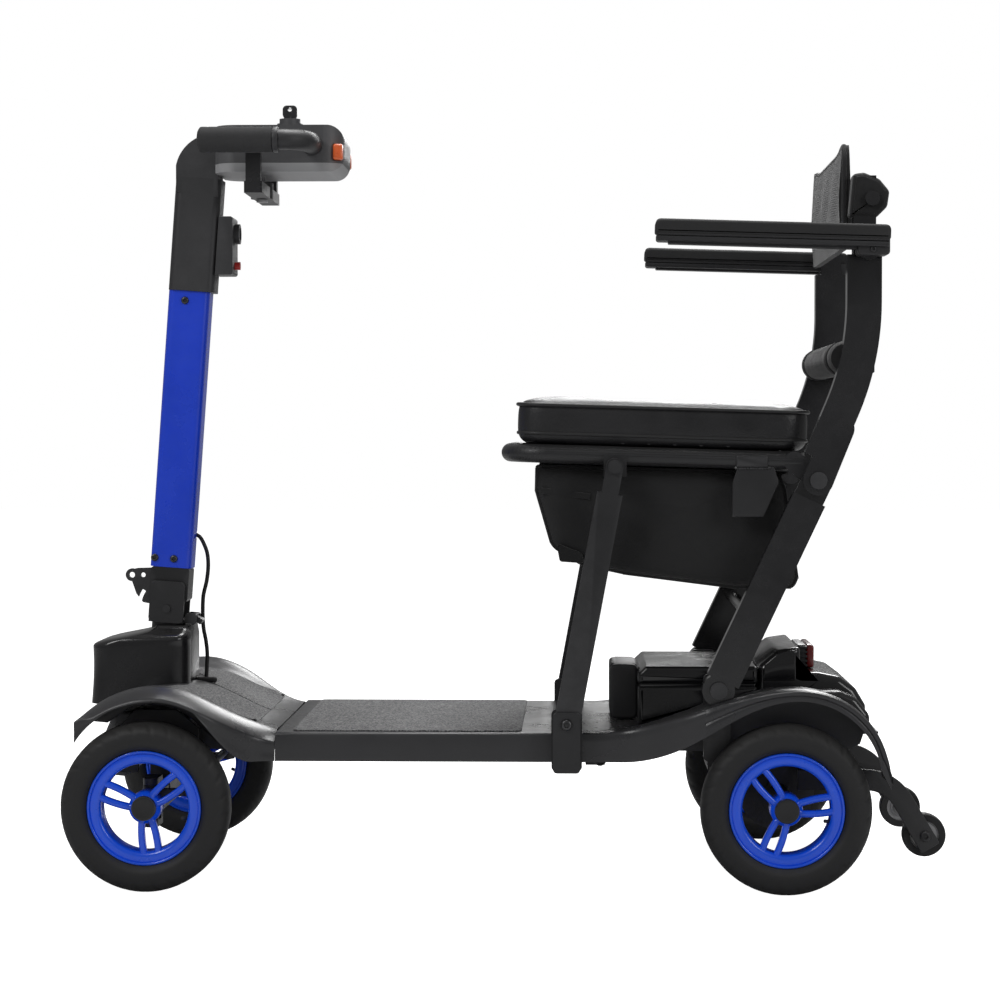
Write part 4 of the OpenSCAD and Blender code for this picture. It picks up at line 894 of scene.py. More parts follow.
class SCOOTER_OT_front(Operator):
    """Make the front section: crowned fenders with a sunk middle, its mats, hood, grommet and liners"""
    bl_idname = "scooter.front"
    bl_label = "Front section"

    def execute(self, context):
        xs = np.concatenate([NOSE_X + 0.4 + 93 * ease(np.linspace(0, 1, 34)),
                             np.linspace(-408, JOINT_FRONT, 60)])
        half = front_half(xs)[:, None]
        inner = np.linspace(-1, 1, 97)[None, :]
        width = np.sign(inner) * (1 - (1 - np.abs(inner)) ** 1.5)
        y_top = width * (half - 1.2)
        z_top = front_height(xs[:, None] + 0 * y_top, y_top)
        z_edge = front_height(xs, front_half(xs))[:, None]
        low = np.minimum(z_edge - 3.0, front_low(xs)[:, None])
        down = np.array([0.0, 0.12, 0.4, 0.7, 0.93, 1.0])[None, :]
        roll = np.array([1.5, 3.2, 3.2, 3.2, 3.2, 3.2])[None, :]
        z_side = z_edge - roll[:, :1] + (low - z_edge + 1.5) * down
        y_side = half - np.array([0.4, 0.0, 0.9, 0.9, 0.0, 0.4])[None, :] * np.clip((z_edge - low) / 20, 0, 1)
        grid_y = np.concatenate([-y_side[:, ::-1], y_top, y_side], 1)
        grid_z = np.concatenate([z_side[:, ::-1], z_top, z_side], 1)
        grid = np.stack([np.broadcast_to(xs[:, None], grid_y.shape), grid_y, grid_z], -1)
        cover = shell(grid, 2.4)
        add_piece("front_section", cover, material("body_grey"), "chassis", ["front_cover"],
                  sharp=42)

        u, v = np.meshgrid(np.linspace(0, 1, 60), np.linspace(0, 1, 48), indexing="ij")
        outer = 154 - 10 * ease((u - 0.93) / 0.07) * (v > 0.96)
        y = 2.6 + v * (outer - 2.6)
        start = -371 - 45 * (y / 97) ** 1.6
        x = start + u * (-300.5 - start)
        z = front_height(x, y)
        lifted = np.stack([x, y, z + 0.7 + 1.5 * np.minimum(1, 9 * np.minimum(np.minimum(u, 1 - u),
                                                                        np.minimum(v, 1 - v)) + 0.12)], -1)
        add_piece("front_mats", mirrored(shell(lifted, 1.4)), material("mat_grit"), "chassis",
                  ["deck_mats"])
        middle = prism(rounded_rect(271, 344, 8, 8) + [-118.5, 0], DECK_Z - 0.6, DECK_Z + 1.8, 0.8)
        add_piece("middle_mat", middle, material("mat_grit"), "chassis")

        slot = rounded_rect(26, 9, 4.4, 8)
        lips = prism(slot + [-383, CABLE_Y - 1], 224.5, 231.5, 2.4)
        add_piece("lead_grommet", lips, material("rubber_pad"), "chassis")

        liner_x = np.linspace(-497, -300, 40)
        wall = np.concatenate([np.stack([liner_x, front_top(liner_x) - 14], -1),
                               [[-300, 152], [-322, 152], [-345, 168], [-365, 186], [-384, 203], [-400, 211],
                                [-425, 215], [-450, 211], [-478, 192]]])
        liners = mirrored(slab(wall, 150, 153, 0.6))
        cheeks = mirrored(slab(fillet([[-478, 176], [-478, 128], [-446, 128], [-446, 150], [-400, 150],
                                       [-400, 128], [-378, 128], [-372, 182], [-400, 205], [-450, 205]],
                                      4), 118, 122, 1))
        add_piece("arch_liners", joined(liners, cheeks), material("satin_black"), "chassis")
        nose_liner = slab(fillet([[-500, 128], [-492, 118], [-470, 116], [-462, 130], [-462, 196],
                                  [-486, 196], [-499, 166]], 5), -70, 70, 5)
        add_piece("nose_liner", nose_liner, material("console_grey"), "chassis")

        self.hood()
        return {"FINISHED"}

    def hood(self):
        """Steering hood: rounded-box rings carried up a line that narrows in an S curve to the neck."""
        t = np.linspace(0, 1, 46)
        z = 204 + (297.9 - 204) * t
        front = -519 + 2.5 * np.sin(np.pi * t) + 78 * ease((t - 0.74) / 0.26) ** 1.3
        back = -395.5 + 0 * t
        half = 59.5 - 3.5 * t - 22 * ease((t - 0.82) / 0.18) ** 1.4
        z = z + 1.2 * ease((t - 0.74) / 0.26)
        square = rounded_rect(2, 2, 0.42, 8)
        cx, hx = (front + back) / 2, (back - front) / 2
        rings = np.stack([cx[:, None] + hx[:, None] * square[None, :, 0], half[:, None] * square[None, :, 1],
                          z[:, None] + 0 * square[None, :, 0]], -1)
        add_piece("steering_hood", skin(rings), material("gloss_black"), "chassis",
                  ["shroud"], sharp=45)


class SCOOTER_OT_deck(Operator):
    """Make the middle deck panel and the rear panel that rises into the rear fenders"""
    bl_idname = "scooter.deck"
    bl_label = "Deck and rear fenders"

    def execute(self, context):
        grey = material("body_grey")
        x0, x1 = JOINT_FRONT + 0.6, JOINT_REAR - 0.6
        section = np.concatenate([[[-DECK_HALF, SKIRT_Z], [-DECK_HALF, 165]],
                                  arc(-DECK_HALF + 4, DECK_Z - 4, 4, 180, 90, 6),
                                  np.stack([np.linspace(-176, 176, 24), np.full(24, DECK_Z)], -1),
                                  arc(DECK_HALF - 4, DECK_Z - 4, 4, 90, 0, 6),
                                  [[DECK_HALF, 165], [DECK_HALF, SKIRT_Z]]])
        xs = np.array([x0, x0 + 0.6, x0 + 1.6, *np.linspace(x0 + 20, x1 - 20, 14), x1 - 1.6, x1 - 0.6, x1])
        fall = 1.2 * np.array([1, 0.4, 0, *np.zeros(14), 0, 0.4, 1])
        grid = np.stack([np.broadcast_to(xs[:, None], (len(xs), len(section))),
                         np.broadcast_to(section[:, 0], (len(xs), len(section))),
                         section[None, :, 1] - fall[:, None]], -1)
        add_piece("middle_deck", shell(grid, 2.5), grey, "chassis", ["deck_mid"])

        xs = np.linspace(JOINT_REAR + 0.6, 231, 44)
        half = rear_half(xs)[:, None]
        across = np.linspace(-1, 1, 61)[None, :]
        y = across * (half - 3)
        rise = (rear_top(xs) - DECK_Z)[:, None] * ease((np.abs(y) - BODY_Y) / 10)
        z = DECK_Z + rise
        low = np.minimum(rear_low(xs)[:, None], rear_top(xs)[:, None] - 6)
        edge = rear_top(xs)[:, None]
        side_z = edge + (low - edge) * np.array([0.04, 0.14, 0.3, 0.4, 0.5, 0.75, 1.0])[None, :]
        side_y = half - np.array([1.2, 0, 0, 0, 0, 0, 0])[None, :]
        grid = np.stack([np.broadcast_to(xs[:, None], (len(xs), 75)),
                         np.concatenate([-side_y[:, ::-1] + 0 * side_z, y, side_y + 0 * side_z], 1),
                         np.concatenate([side_z[:, ::-1], z, side_z], 1)], -1)
        add_piece("rear_deck", shell(grid, 2.5), grey, "chassis", ["deck_rear"], sharp=40)

        xs = np.concatenate([np.linspace(230.4, 340, 46),
                             340 + 106 * np.sin(np.linspace(0, 1, 40)[1:] * np.pi / 2)])
        half = rear_half(xs)[:, None]
        top = rear_top(xs)[:, None]
        clip = np.minimum(rear_low(xs)[:, None], top - 3)
        k = np.linspace(0, 1, 22)[None, :]
        y_top = BODY_Y + 1 + k * (half - BODY_Y - 3.4)
        crown = 4.5 * bell(k - 0.84, 0.2) - 4.5 - 1.5 * k ** 8
        z_top = top + crown * ease((xs[:, None] - 230) / 60)
        fade = np.clip((top - clip) / 18, 0, 1)
        d = np.array([0.05, 0.12, 0.24, 0.36, 0.42, 0.48, 0.54, 0.6, 0.72, 0.86, 0.95, 1.0])[None, :]
        z_side = top - 2 + (clip - top + 2) * d
        y_side = half - fade * (1.6 * bell(d - 0.48, 0.06) + 1.2 * (d < 0.08))
        z_in = top - 5 - 1.5 + (DECK_Z - top + 5) * np.linspace(0.0, 1, 6)[None, ::-1]
        z_in = np.maximum(z_in, DECK_Z - 2)
        grid_y = np.concatenate([np.full((len(xs), 6), BODY_Y) + 0 * z_in, y_top, y_side], 1)
        grid_z = np.concatenate([np.minimum(z_in, z_top[:, :1]), z_top, z_side], 1)
        grid = np.stack([np.broadcast_to(xs[:, None], grid_y.shape), grid_y, grid_z], -1)
        fender = shell(grid, 2.2)
        floor = block((226, -BODY_Y - 1.5, DECK_Z - 4), (440, BODY_Y + 1.5, DECK_Z - 0.2), 3, 1)
        add_piece("rear_fenders", joined(mirrored(fender), floor), material("body_grey"), "chassis",
                  sharp=40)
        liner_x = np.linspace(252, 425, 40)
        liner = np.concatenate([np.stack([liner_x, rear_top(liner_x) - 8], -1),
                                [[418, 170], [400, 160], [262, 160], [250, 172]]])
        add_piece("fender_liners", mirrored(slab(liner, 148, 151, 0.6)), material("console_grey"), "chassis")
        return {"FINISHED"}


# ---- Battery and rear cover ----

class SCOOTER_OT_battery(Operator):
    """Make the battery box with its seam and handle, the rear cover with its hump, and the ribbed lamp"""
    bl_idname = "scooter.battery"
    bl_label = "Battery and rear cover"

    def execute(self, context):
        base = fillet([[155.8, 185.6], [155.8, 233], [299.6, 233], [299.6, 185.6]], 4)
        lid = fillet([[155.6, 235.2], [155.6, 248], [165.4, 257.2], [300, 257.2], [300, 235.2]], 5)
        case = [slab(base, -107, 107, 6, 7), slab(lid, -107.8, 107.8, 6, 7),
                block((158, -104, 232), (297, 104, 236.5), 3, 1)]
        add_piece("battery_box", joined(*case), material("gloss_black"), "battery",
                  ["battery_case"], sharp=45)
        cheek = slab(fillet([[122.6, 187.6], [122.6, 255], [157, 255], [157, 187.6]], 9), 42, 55.8, 4, 6)
        front = fillet([[122.6, 187.6], [122.6, 255], [135, 255], [135, 187.6]], 5.5)
        bars = joined(mirrored(cheek), slab(front, -43, 43, 1),
                      block((126, -43, 239.6), (157, 43, 255), 5, 1))
        add_piece("battery_grip", bars, material("moulded_black"), "battery",
                  ["battery_handle"], sharp=45)

        hump = fillet([[300.8, 185.4], [300.8, 257], [324, 276.6], [351.4, 280.6], [351.4, 250], [374, 249.6],
                       [399, 244.6], [418, 230.6], [430.2, 210], [430.2, 185.4]],
                      [3, 10, 14, 5, 3, 6, 14, 16, 10, 3])
        shoulder = fillet([[301, 185.4], [301, 231.6], [394, 231.6], [414, 223.6], [430.2, 203],
                           [430.2, 185.4]], [3, 12, 18, 18, 14, 3])
        ridge = fillet([[306, 240], [308, 259], [325, 273.6], [346, 277.2], [346, 240]], [3, 8, 12, 4, 3])
        cover = joined(slab(hump, -103.4, 103.4, 10, 8), slab(shoulder, -145.2, 145.2, 7, 7),
                       mirrored(slab(ridge, 100, 104.4, 1.4)))
        add_piece("rear_hump", cover, material("gloss_black"), "chassis", ["rear_cover"],
                  sharp=45)
        heights = np.linspace(253, 275, 5)
        ribs = [block((352.2, -45.4, z - 1.5), (365, 45.4, z + 1.6), 1.2, 0.8) for z in heights]
        ribs.append(block((352.2, -43, 250.6), (363, 43, 278.2), 2, 1))
        add_piece("lamp_ribs", joined(*ribs), material("satin_black"), "chassis")
        add_piece("lamp_lens", block((363.4, -45.6, 250.4), (372.8, 45.6, 278.6), 3.6, 2.5),
                  material("red_lens"), "chassis", ["tail_lamp"])
        return {"FINISHED"}


# ---- Seat ----

SEAMS = (-242.5, -117.5)


def seat_height(points):
    """Height of world points above the seat frame's sloping base line."""
    return (points[:, 0] - HINGE[0]) * math.sin(SLOPE) + (points[:, 2] - HINGE[1]) * math.cos(SLOPE)


def seat_run(points):
    """Distance of world points along the seat frame's base line from its hinge."""
    return (points[:, 0] - HINGE[0]) * math.cos(SLOPE) - (points[:, 2] - HINGE[1]) * math.sin(SLOPE)


def puff(obj, held, most, pressure=4.0):
    """Blow a closed skin up as cloth for 20 frames, the held points fixed, no point moved beyond a limit."""
    mesh = obj.data
    rest = np.empty(len(mesh.vertices) * 3)
    mesh.vertices.foreach_get("co", rest)
    rest = rest.reshape(-1, 3)
    group = obj.vertex_groups.new(name="held")
    group.add(np.nonzero(held(rest / MM))[0].tolist(), 1.0, "REPLACE")
    cloth = obj.modifiers.new("Cloth", "CLOTH")
    values = cloth.settings
    values.quality, values.mass = 5, 0.3
    values.tension_stiffness = values.compression_stiffness = 25
    values.shear_stiffness, values.bending_stiffness = 12, 2.0
    values.use_pressure, values.uniform_pressure_force = True, pressure
    values.effector_weights.gravity = 0
    values.vertex_group_mass = "held"
    cloth.point_cache.frame_start, cloth.point_cache.frame_end = 1, 20
    scene = bpy.context.scene
    for step in range(1, 21):
        scene.frame_set(step)
    full = obj.evaluated_get(bpy.context.evaluated_depsgraph_get()).data
    blown = np.empty(len(full.vertices) * 3)
    full.vertices.foreach_get("co", blown)
    shift = blown.reshape(-1, 3) - rest
    length = np.maximum(np.linalg.norm(shift, axis=1), 1e-9)[:, None]
    final = rest + shift * np.minimum(1, most * MM / length)
    obj.modifiers.remove(cloth)
    mesh.vertices.foreach_set("co", final.reshape(-1))
    mesh.update()
    scene.frame_set(1)


def remesh(obj, size):
    """Even quads of the given size over a closed skin, applied."""
    mod = obj.modifiers.new("Even", "REMESH")
    mod.mode, mod.voxel_size, mod.use_smooth_shade = "VOXEL", size * MM, True
    new = bpy.data.meshes.new_from_object(obj.evaluated_get(bpy.context.evaluated_depsgraph_get()))
    obj.modifiers.remove(mod)
    obj.data = new


class SCOOTER_OT_seat(Operator):
    """Make the padded seat with its piping and seams, the storage bag, the seat tubes and their bolts"""
    bl_idname = "scooter.seat"
    bl_label = "Seat"

    def execute(self, context):
        self.cushion()
        self.bag()
        self.tubes()
        return {"FINISHED"}

    def cushion(self):
        """Rounded-box rings stacked up from the pan; the skin is then blown up between held seams."""
        t = np.linspace(0, 1, 30)
        z = 33.2 + 52.5 * t
        tuck = 9 * (1 - np.minimum(1, t / 0.22)) ** 1.5
        round_over = ((t - 0.72) / 0.28).clip(0)
        inset = tuck + 12 * (1 - np.sqrt(np.clip(1 - round_over ** 2, 0, 1)))
        rings = []
        for height, d in zip(z, inset):
            outline = rounded_rect(342 - 2 * d, 360 - 2 * d, max(30 - d, 8), 12)
            rings.append(np.stack([outline[:, 0] - 181, outline[:, 1], np.full(len(outline), height)], -1))
        centre = np.array([-181, 0, 85.7])
        crown = [centre + (rings[-1] - centre) * [s, s, 1] + [0, 0, 1.6 * (1 - s * s)]
                 for s in (0.9, 0.75, 0.6, 0.4, 0.2, 0.02)]
        pad = add_piece("seat_padding", moved(skin(np.stack(rings + crown)), seated), material("vinyl"),
                        "seat", ["seat_cushion"], sharp=70)
        remesh(pad, 5.0)

        def held(points):
            """Points that stay put: the underside, the piping's rim and the two seams."""
            up, run, y = seat_height(points), seat_run(points), np.abs(points[:, 1])
            out = np.maximum((np.abs(run + 181) - 160), y - 169)
            off_seam = np.minimum(np.abs(run - SEAMS[0]), np.abs(run - SEAMS[1]))
            seam = (off_seam < 3.4) & (up > 80) & (y < 160)
            return (up < 44) | ((np.abs(up - 79) < 2.6) & (out > 0)) | seam

        puff(pad, held, 4.6)
        pad.data.shade_smooth()
        mod = pad.modifiers.new("Smooth", "SUBSURF")
        mod.levels = mod.render_levels = 1
        cords = []
        for height, out in ((79.0, 1.6), (45.5, 0.2)):
            outline = rounded_rect(342 + 2 * out - 2, 360 + 2 * out - 2, 29, 16)
            path = np.stack([outline[:, 0] - 181, outline[:, 1], np.full(len(outline), height)], -1)
            cords.append(moved(closed_loop(path, arc(0, 0, 2.2, 0, 330, 12), (0, 0, 1), (0, 0, 1)), seated))
        for run in SEAMS:
            y = np.linspace(-166, 166, 60)
            lift = 86.4 - 7 * (np.abs(y) / 168) ** 10
            for side in SIDES:
                path = np.stack([run + side * 1.5 + 0 * y, y, lift], -1)
                cords.append(moved(tube(path, 1.1, 8, (1, 0, 0)), seated))
        add_piece("seat_piping", joined(*cords), material("piping"), "seat", sharp=60)
        studs = []
        for x in (135, 165.6, 196, 227, 258.5):
            for side in SIDES:
                studs.append(moved(button_head(x - HINGE[0], 38.0, side * 172, side, 3.2, 2.4), seated))
        add_piece("seat_studs", joined(*studs), material("dark_steel"), "seat")

    def bag(self):
        """Outline carried across, its ends domed, with shallow hanging folds, a zip, a flap and a tab."""
        corners = [[34.6, 499], [34, 470], [53, 404], [87, 383], [141, 371.4], [269, 355.4], [338, 355.4],
                   [343, 367], [329, 469], [321.4, 491]]
        outline = fillet(corners, [3, 12, 22, 20, 30, 40, 16, 10, 20, 4], 10)
        outline = smooth_path(np.concatenate([outline, outline[:1]]), 181)[:-1]
        mid = np.array([186.0, 436.0])
        s = np.concatenate([np.linspace(0.03, 0.86, 16),
                            0.86 + 0.14 * np.sin(np.linspace(0.1, 1, 9) * np.pi / 2)])
        x = mid[0] + s[:, None] * (outline[None, :, 0] - mid[0])
        z = mid[1] + s[:, None] * (outline[None, :, 1] - mid[1])
        folds = (1.8 * np.sin(0.05 * x + 2.2 * np.sin(0.021 * z + 0.008 * x))
                 + 1.4 * np.sin(0.083 * z - 0.028 * x + 1.7 * np.sin(0.03 * x))
                 + 0.8 * np.sin(0.16 * x + 0.09 * z))
        depth = 158 - 11 * np.clip((s[:, None] - 0.8) / 0.2, 0, 1) ** 3 + folds * (1 - s[:, None] ** 6) * 0.9
        near = np.stack([x, -depth, z], -1)
        y = np.linspace(-147, 147, 41)[1:-1]
        sag = 2.2 * np.sin(y / 21)[:, None] * np.sin(np.linspace(0, 6 * np.pi, len(outline)))[None, :]
        body = np.stack([np.broadcast_to(outline[None, :, 0], sag.shape),
                         np.broadcast_to(y[:, None], sag.shape), outline[None, :, 1] + 0.5 * sag + 0.4], -1)
        shape = skin(np.concatenate([near, body, (near * [1, -1, 1])[::-1]]))
        extras = []
        for side in SIDES:
            rim = flat_xz(outline, side * 148.5)
            extras.append(closed_loop(rim, arc(0, 0, 1.9, 0, 315, 8), (0, side, 0), (0, 1, 0)))
            zip_line = np.linspace((40, side * 157.6, 470), (98, side * 158.4, 463), 24)
            extras.append(sweep(zip_line, rounded_rect(7, 2.4, 1, 3), (0, 1, 0)))
            extras.append(slab(fillet([[58, 408], [88, 396], [92, 384], [62, 386]], 4),
                               side * 157, side * 160, 1))
        add_piece("bag_cloth", joined(shape, *extras), material("bag_cloth"), "seat", ["seat_bag"],
                  sharp=60)
        bag = bpy.data.objects["bag_cloth"]
        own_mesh(bag)

    def tubes(self):
        """Bent seat tube with its rear cross tube, gussets with rolled edges, hinge ears and bolts."""
        a = np.radians(np.linspace(0, 90, 14))
        corner = np.stack([-318 - 42 * np.sin(a), -132 - 42 * np.cos(a), 21.5 + 0 * a], -1)
        path = np.concatenate([[[-15, -174, 21.5], [-60, -174, 21.5], [-160, -174, 21.5], [-290, -174, 21.5]],
                               corner, [[-360, -80, 21.5], [-360, 80, 21.5]], corner[::-1] * [1, -1, 1],
                               [[-290, 174, 21.5], [-160, 174, 21.5], [-60, 174, 21.5], [-15, 174, 21.5]]])
        frame_tube = moved(tube(path, 11.0, 24, (0, 0, 1)), seated)
        cross = moved(tube(np.linspace((-29, -170, 21.5), (-29, 170, 21.5), 6), 10.5, 20, (1, 0, 0)), seated)
        add_piece("seat_tube", joined(frame_tube, cross), material("gloss_black"), "seat",
                  sharp=50)
        plate = np.array([[-98, -4], [-98, -43], [-62, -43], [-44, -2], [-50, 16], [-92, 16]], float) + HINGE
        bead = [mirrored(slab(fillet(plate, [5, 8, 8, 5, 4, 4]), 181, 182.4, 0.7))]
        bead.append(mirrored(slab(fillet([[268, 498], [306, 498], [306, 512], [268, 512]], 3),
                                  178, 186.4, 2)))
        beads = [mirrored(tube(np.stack([np.linspace(268, 308, 40), 182.0 + 0.7 * np.sin(np.arange(40) * 1.9),
                                         np.full(40, 497.4)], -1), 2.1, 8))]
        add_piece("seat_gusset_faces", joined(*bead, *beads), material("powder_black"), "seat")
        bolts = (("leg_top_bolts", "front_legs", LEG_TOP, 206.4, 7.4, 4.5),
                 ("hinge_bolts", "rear_links", HINGE, 206.2, 7.6, 4.4),
                 ("leg_foot_bolts", "front_legs", LEG_FOOT, 211.4, 6.6, 4.0),
                 ("link_foot_bolts", "rear_links", LINK_FOOT, 206.2, 8.0, 4.6))
        for name, body, (x, z), y, r, height in bolts:
            heads = [button_head(x, z, side * y, side, r, height) for side in SIDES]
            add_piece(name, joined(*heads), material("dark_steel"), body)


# ---- Backrest ----

class SCOOTER_OT_back(Operator):
    """Make the back panel with its wings, the lumbar roll with its flap, and the armrest pads"""
    bl_idname = "scooter.back"
    bl_label = "Backrest and armrests"

    def execute(self, context):
        rows = np.linspace(0, 1, 34)
        z = 754 + 120 * rows
        top_inset = 10 * np.clip((rows - 0.82) / 0.18, 0, 1) ** 2
        foot_inset = 5 * np.clip((0.12 - rows) / 0.12, 0, 1) ** 2
        half = 180 - top_inset - foot_inset - 3 * np.sin(np.pi * rows)
        k = np.linspace(-1, 1, 73)[None, :]
        y = k * half[:, None]
        corner_rise = 7 * np.clip(np.abs(k) - 0.55, 0, 0.45) ** 2 * 4
        top = z[:, None] + (corner_rise - 6 * (1 - k ** 8)) * rows[:, None] ** 3
        middle = np.sin(np.pi * rows)[:, None]
        bow = 9.0 - 3.5 * (1 - k ** 2) * middle - 5.5 * k ** 8 * middle
        folds = 0.9 * np.sin(0.055 * y + 5 * rows[:, None]) * middle
        front = np.stack([386.6 + bow * 0.55 + folds, y, np.minimum(top, 874.6)], -1)
        back = np.stack([402.4 - bow * 0.3 - folds, y, np.minimum(top, 874.6)], -1)
        panel = skin(np.concatenate([front, back[:, ::-1]], 1))
        edges = [tube(np.stack([394 + 0 * z, side * (half - 0.4), z], -1), 3.2, 10) for side in SIDES]
        rim = tube(np.stack([394 + 0 * k[0], k[0] * half[-1], np.minimum(top[-1], 873) - 1.0], -1), 3.0, 10,
                   (0, 0, 1))
        cover = add_piece("back_panel", joined(panel, *edges, rim), material("mesh_cloth"), "backrest",
                          ["back_cover"], sharp=60)
        wing = fillet([[396.6, 788], [401, 838], [414, 839.6], [432, 832], [443.6, 818], [441, 800],
                       [428, 787]], [4, 6, 8, 10, 8, 10, 8], 8)
        wings = [mirrored(slab(wing, 180.4, 207.4, 5, 6)),
                 mirrored(slab(inset_outline(wing, 4), 206.4, 208.0, 0.7))]
        wing_piece = add_piece("back_wings", joined(*wings), material("bag_cloth"), "backrest",
                               sharp=60)
        knobs = [lathe([(0.05, side * 207), (8.3, side * 207), (8.3, side * 210), (7.6, side * 212.4),
                        (5, side * 213.8), (0.05, side * 214)], 423, 809, 32) for side in SIDES]
        add_piece("wing_knobs", joined(*knobs), material("satin_black"), "backrest")

        across = np.linspace(-185, 185, 90)
        swell = 19.4 - 0.5 * np.sin(across / 9) - 3.5 * np.clip((np.abs(across) - 172) / 13, 0, 1) ** 2
        turn = np.linspace(0, 2 * np.pi, 36, endpoint=False)
        roll = np.stack([395 + swell[:, None] * np.cos(turn), np.broadcast_to(across[:, None], (90, 36)),
                         626 + swell[:, None] * np.sin(turn)], -1)
        ties = [block((396, -183, 614.6), (429.6, 183, 618.6), 1.8, 1.2),
                block((425.4, -183, 608.4), (429.6, 183, 637.6), 1.8, 1.2)]
        bands = [ring([(19.6, side * 150 - 12), (20.2, side * 150 - 12), (20.2, side * 150 + 12),
                       (19.6, side * 150 + 12)], 395, 626, 48) for side in SIDES]
        lumbar = add_piece("lumbar_pad", joined(skin(roll), *ties), material("bag_cloth"), "backrest",
                           ["lumbar_roll"], sharp=60)
        add_piece("lumbar_bands", joined(*bands), material("webbing"), "backrest")

        for name, side in (("left", -1), ("right", 1)):
            self.arm(name, side)
        return {"FINISHED"}

    def arm(self, name, side):
        """Sloped pad over a base with a seam between them, its block, its wedge, its pivot and two screws."""
        def slanted(p):
            """Turn points by the arm's slope about Y and move them to its rear end."""
            c, s = math.cos(SLOPE), math.sin(SLOPE)
            return np.stack([440.5 + p[..., 0] * c + p[..., 2] * s, p[..., 1],
                             776 - p[..., 0] * s + p[..., 2] * c], -1)

        def placed(outline, r, near, far, edge):
            """Rounded slab between two distances from the middle plane, on this arm's side."""
            lo, hi = sorted((side * near, side * far))
            return slab(fillet(outline, r, 7), lo, hi, edge, 5)

        pad = placed([[-268.6, -17.4], [-268.6, -0.3], [-0.4, -0.3], [-0.4, -17.4]], [3, 7, 7, 3],
                     216.3, 255.7, 4)
        piece = add_piece("arm_pad_" + name, moved(pad, slanted), material("rubber_pad"), "armrest_" + name,
                          ["armrest_" + name], sharp=50)
        base = placed([[-267, -25.8], [-267, -18.2], [-1.4, -18.2], [-1.4, -25.8]], [6, 1, 1, 6],
                      217.2, 254.8, 2)
        core = placed([[-266, -20], [-266, -15], [-2, -15], [-2, -20]], 1, 218, 254, 0.4)
        holder = placed([[402.4, 741.4], [402.4, 770], [439.2, 770], [439.2, 741.4]], 5, 216.4, 249.6, 2)
        brace = placed([[186.5, 754.8], [402.6, 748.4], [402.6, 756], [186.5, 760]], 1.5, 226.4, 245.6, 1)
        boss = pin(*ARM_PIVOT, side * 206.6, side * 217, 13.8, 40)
        heads = [button_head(x, z, side * 249.4, side, 3.6, 2.4)
                 for x, z in ((411, 757), (431, 757), (420, 748))]
        hard = joined(moved(base, slanted), moved(core, slanted), holder, brace, boss, *heads)
        add_piece("arm_base_" + name, hard, material("moulded_black"), "armrest_" + name)


# ---- Tiller ----

class SCOOTER_OT_tiller(Operator):
    """Make the handlebar, its foam grips, the reflectors, the key with its ring, and the tiller screws"""
    bl_idname = "scooter.tiller"
    bl_label = "Tiller details"

    def execute(self, context):
        a = np.radians(np.linspace(0, 90, 16))
        elbow = np.stack([-275 + 34 * np.cos(a), 91 + 34 * np.sin(a), 889 + 0 * a], -1)
        half = np.concatenate([[[-241, 30, 889], [-241, 62, 889], [-241, 80, 889]], elbow,
                               [[-300, 125, 889], [-340, 125, 889], [-369, 125, 889]]])
        bar = mirrored(tube(half, 12.5, 28, (0, 0, 1)))
        collar = ring([(12.6, 0), (15.4, 0), (15.6, 1), (15.6, 5), (15.2, 6), (12.6, 6)], 0, 0, 40)
        collars = mirrored(moved_x(collar, -281, 125, 889))
        add_piece("bar_tube", joined(bar, collars), material("casing_black"), "tiller",
                  ["handlebar"], sharp=45)
        n = 60
        run = np.linspace(-373, -282, n)
        scale = np.minimum(1, np.sqrt(np.clip(1 - (1 - (run + 373) / 6).clip(0) ** 2, 0.02, 1)))
        scale = scale * (1 - 0.02 * (np.cos((run + 282) * 2 * np.pi / 11) > 0.9))
        grips = mirrored(sweep(np.stack([run, np.full(n, 125.0), np.full(n, 889.0)], -1),
                               arc(0, 0, 15.4, 0, 350, 32), (0, 1, 0), scale))
        add_piece("foam_grips", grips, material("grip_foam"), "tiller", ["grips"], sharp=60)
        lens = mirrored(block((-215.6, 50.4, 871.4), (-203.8, 63.6, 890.6), 2.5, 2.5))
        lines = [mirrored(block((-214, 63.2, z), (-205.6, 64.0, z + 0.9), 0.4, 0.3))
                 for z in np.linspace(874, 887.5, 7)]
        add_piece("reflector_lenses", joined(lens, *lines), material("orange_lens"), "tiller",
                  ["reflectors"])
        screws = []
        for x, z in ((-20, 62), (4, 62), (-4, 383)):
            for side in SIDES:
                screws.append(moved(button_head(x, z, side * 21.1, side, 4.7, 2.6), leaning))
        add_piece("tiller_screw_heads", joined(*screws), material("dark_steel"), "tiller",
                  ["tiller_screws"])
        t = np.linspace(0, 2 * np.pi, 60, endpoint=False)
        loop = np.stack([-275 + 8 * np.cos(t), 3 + 1.2 * np.sin(2 * t), 933.4 + 8 * np.sin(t)], -1)
        wire = closed_loop(loop, arc(0, 0, 0.7, 0, 300, 6), (0, 1, 0), (0, 1, 0))
        add_piece("key_ring", wire, material("bright_steel"), "key")
        return {"FINISHED"}


def moved_x(part, x, y, z):
    """Turn a part made about a line along Y so that its line lies along X, and set it in place."""
    points = np.asarray(part[0])
    return np.stack([x + points[:, 1], y + points[:, 0], z + points[:, 2]], -1), part[1]


# ---- The frame's own parts ----

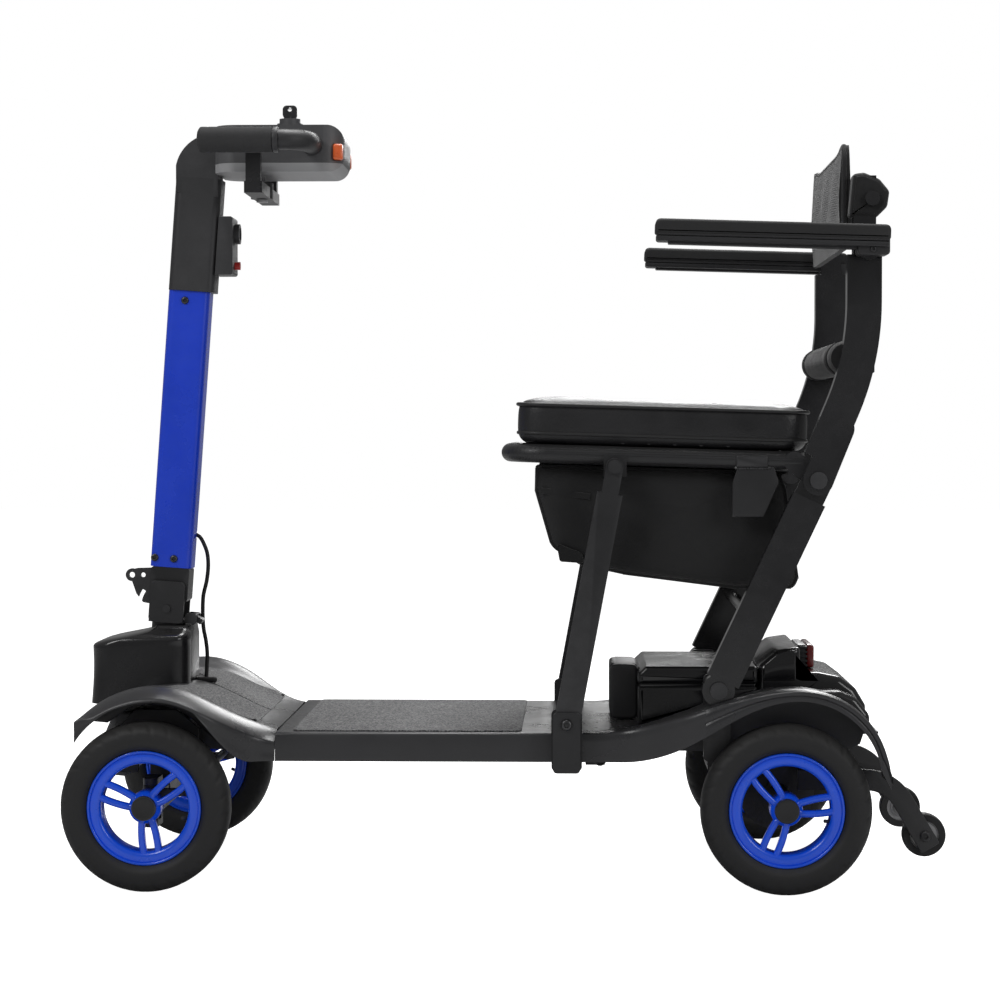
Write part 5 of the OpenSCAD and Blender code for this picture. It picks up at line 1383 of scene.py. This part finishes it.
KEPT = {
    "frame": "powder_black", "seat_brackets": "powder_black", "deck_latch": "powder_black",
    "transaxle": "cast_alloy", "head_tube": "powder_black", "steer_yoke": "powder_black",
    "fold_plate": "powder_black", "tiller_tube": "tube_blue", "tiller_base": "satin_black",
    "tiller_casing": "casing_black", "console_upper": "console_grey", "console_lower": "pale_grey",
    "charge_box": "casing_black", "release_lever": "satin_black", "throttle_lever": "satin_black",
    "key": "satin_black", "power_button": "tube_blue", "breaker_button": "red_plastic",
    "knuckle_left": "cast_alloy", "knuckle_right": "cast_alloy", "tie_rod": "dark_steel",
    "front_legs": "powder_black", "rear_links": "gloss_black", "seat_frame": "powder_black",
    "seat_pan": "moulded_black", "uprights": "gloss_black",
}


class SCOOTER_OT_carried(Operator):
    """Give every part carried over from the frame its paint, metal or moulded finish"""
    bl_idname = "scooter.carried"
    bl_label = "Finishes of the carried parts"

    def execute(self, context):
        for name, look in KEPT.items():
            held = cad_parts.get(name)
            if held is None:
                self.report({"ERROR"}, "the frame has no node " + name)
                raise RuntimeError("the frame has no node " + name)
            paint = material(look)
            if not held.material_slots:
                held.data.materials.append(paint)
            for place in held.material_slots:
                place.material = paint
        return {"FINISHED"}


# ---- Add-on ----

class ScooterColours(PropertyGroup):
    tube_blue: FloatVectorProperty(name="Tiller blue", description="Colour of the tiller tube",
                                   subtype="COLOR", size=4, min=0, max=1, default=srgb(0, 62, 226))
    rim_blue: FloatVectorProperty(name="Rim blue", description="Colour of the wheel rims", subtype="COLOR",
                                  size=4, min=0, max=1, default=srgb(2, 84, 236))
    lead_diameter: FloatProperty(name="Lead diameter", description="Diameter of the control lead",
                                 subtype="DISTANCE", unit="LENGTH", min=0.003, max=0.007, default=0.005)


STEPS = (SCOOTER_OT_stage, SCOOTER_OT_cable, SCOOTER_OT_wheels, SCOOTER_OT_tip_wheels, SCOOTER_OT_front,
         SCOOTER_OT_deck, SCOOTER_OT_battery, SCOOTER_OT_seat, SCOOTER_OT_back, SCOOTER_OT_tiller,
         SCOOTER_OT_carried)


class SCOOTER_PT_panel(Panel):
    bl_idname = "SCOOTER_PT_panel"
    bl_label = "Mobility scooter"
    bl_space_type = "VIEW_3D"
    bl_region_type = "UI"
    bl_category = "Scooter"

    def draw(self, context):
        colours = context.scene.scooter_colours
        for key in ("tube_blue", "rim_blue", "lead_diameter"):
            self.layout.prop(colours, key)
        for step in STEPS:
            self.layout.operator(step.bl_idname)


CLASSES = (ScooterColours, *STEPS, SCOOTER_PT_panel)


def register():
    for each in CLASSES:
        bpy.utils.register_class(each)
    bpy.types.Scene.scooter_colours = PointerProperty(type=ScooterColours)


def unregister():
    del bpy.types.Scene.scooter_colours
    for each in reversed(CLASSES):
        bpy.utils.unregister_class(each)


def main():
    register()
    for step in STEPS:
        group, name = step.bl_idname.split(".")
        getattr(getattr(bpy.ops, group), name)()


if __name__ == "__main__":
    main()
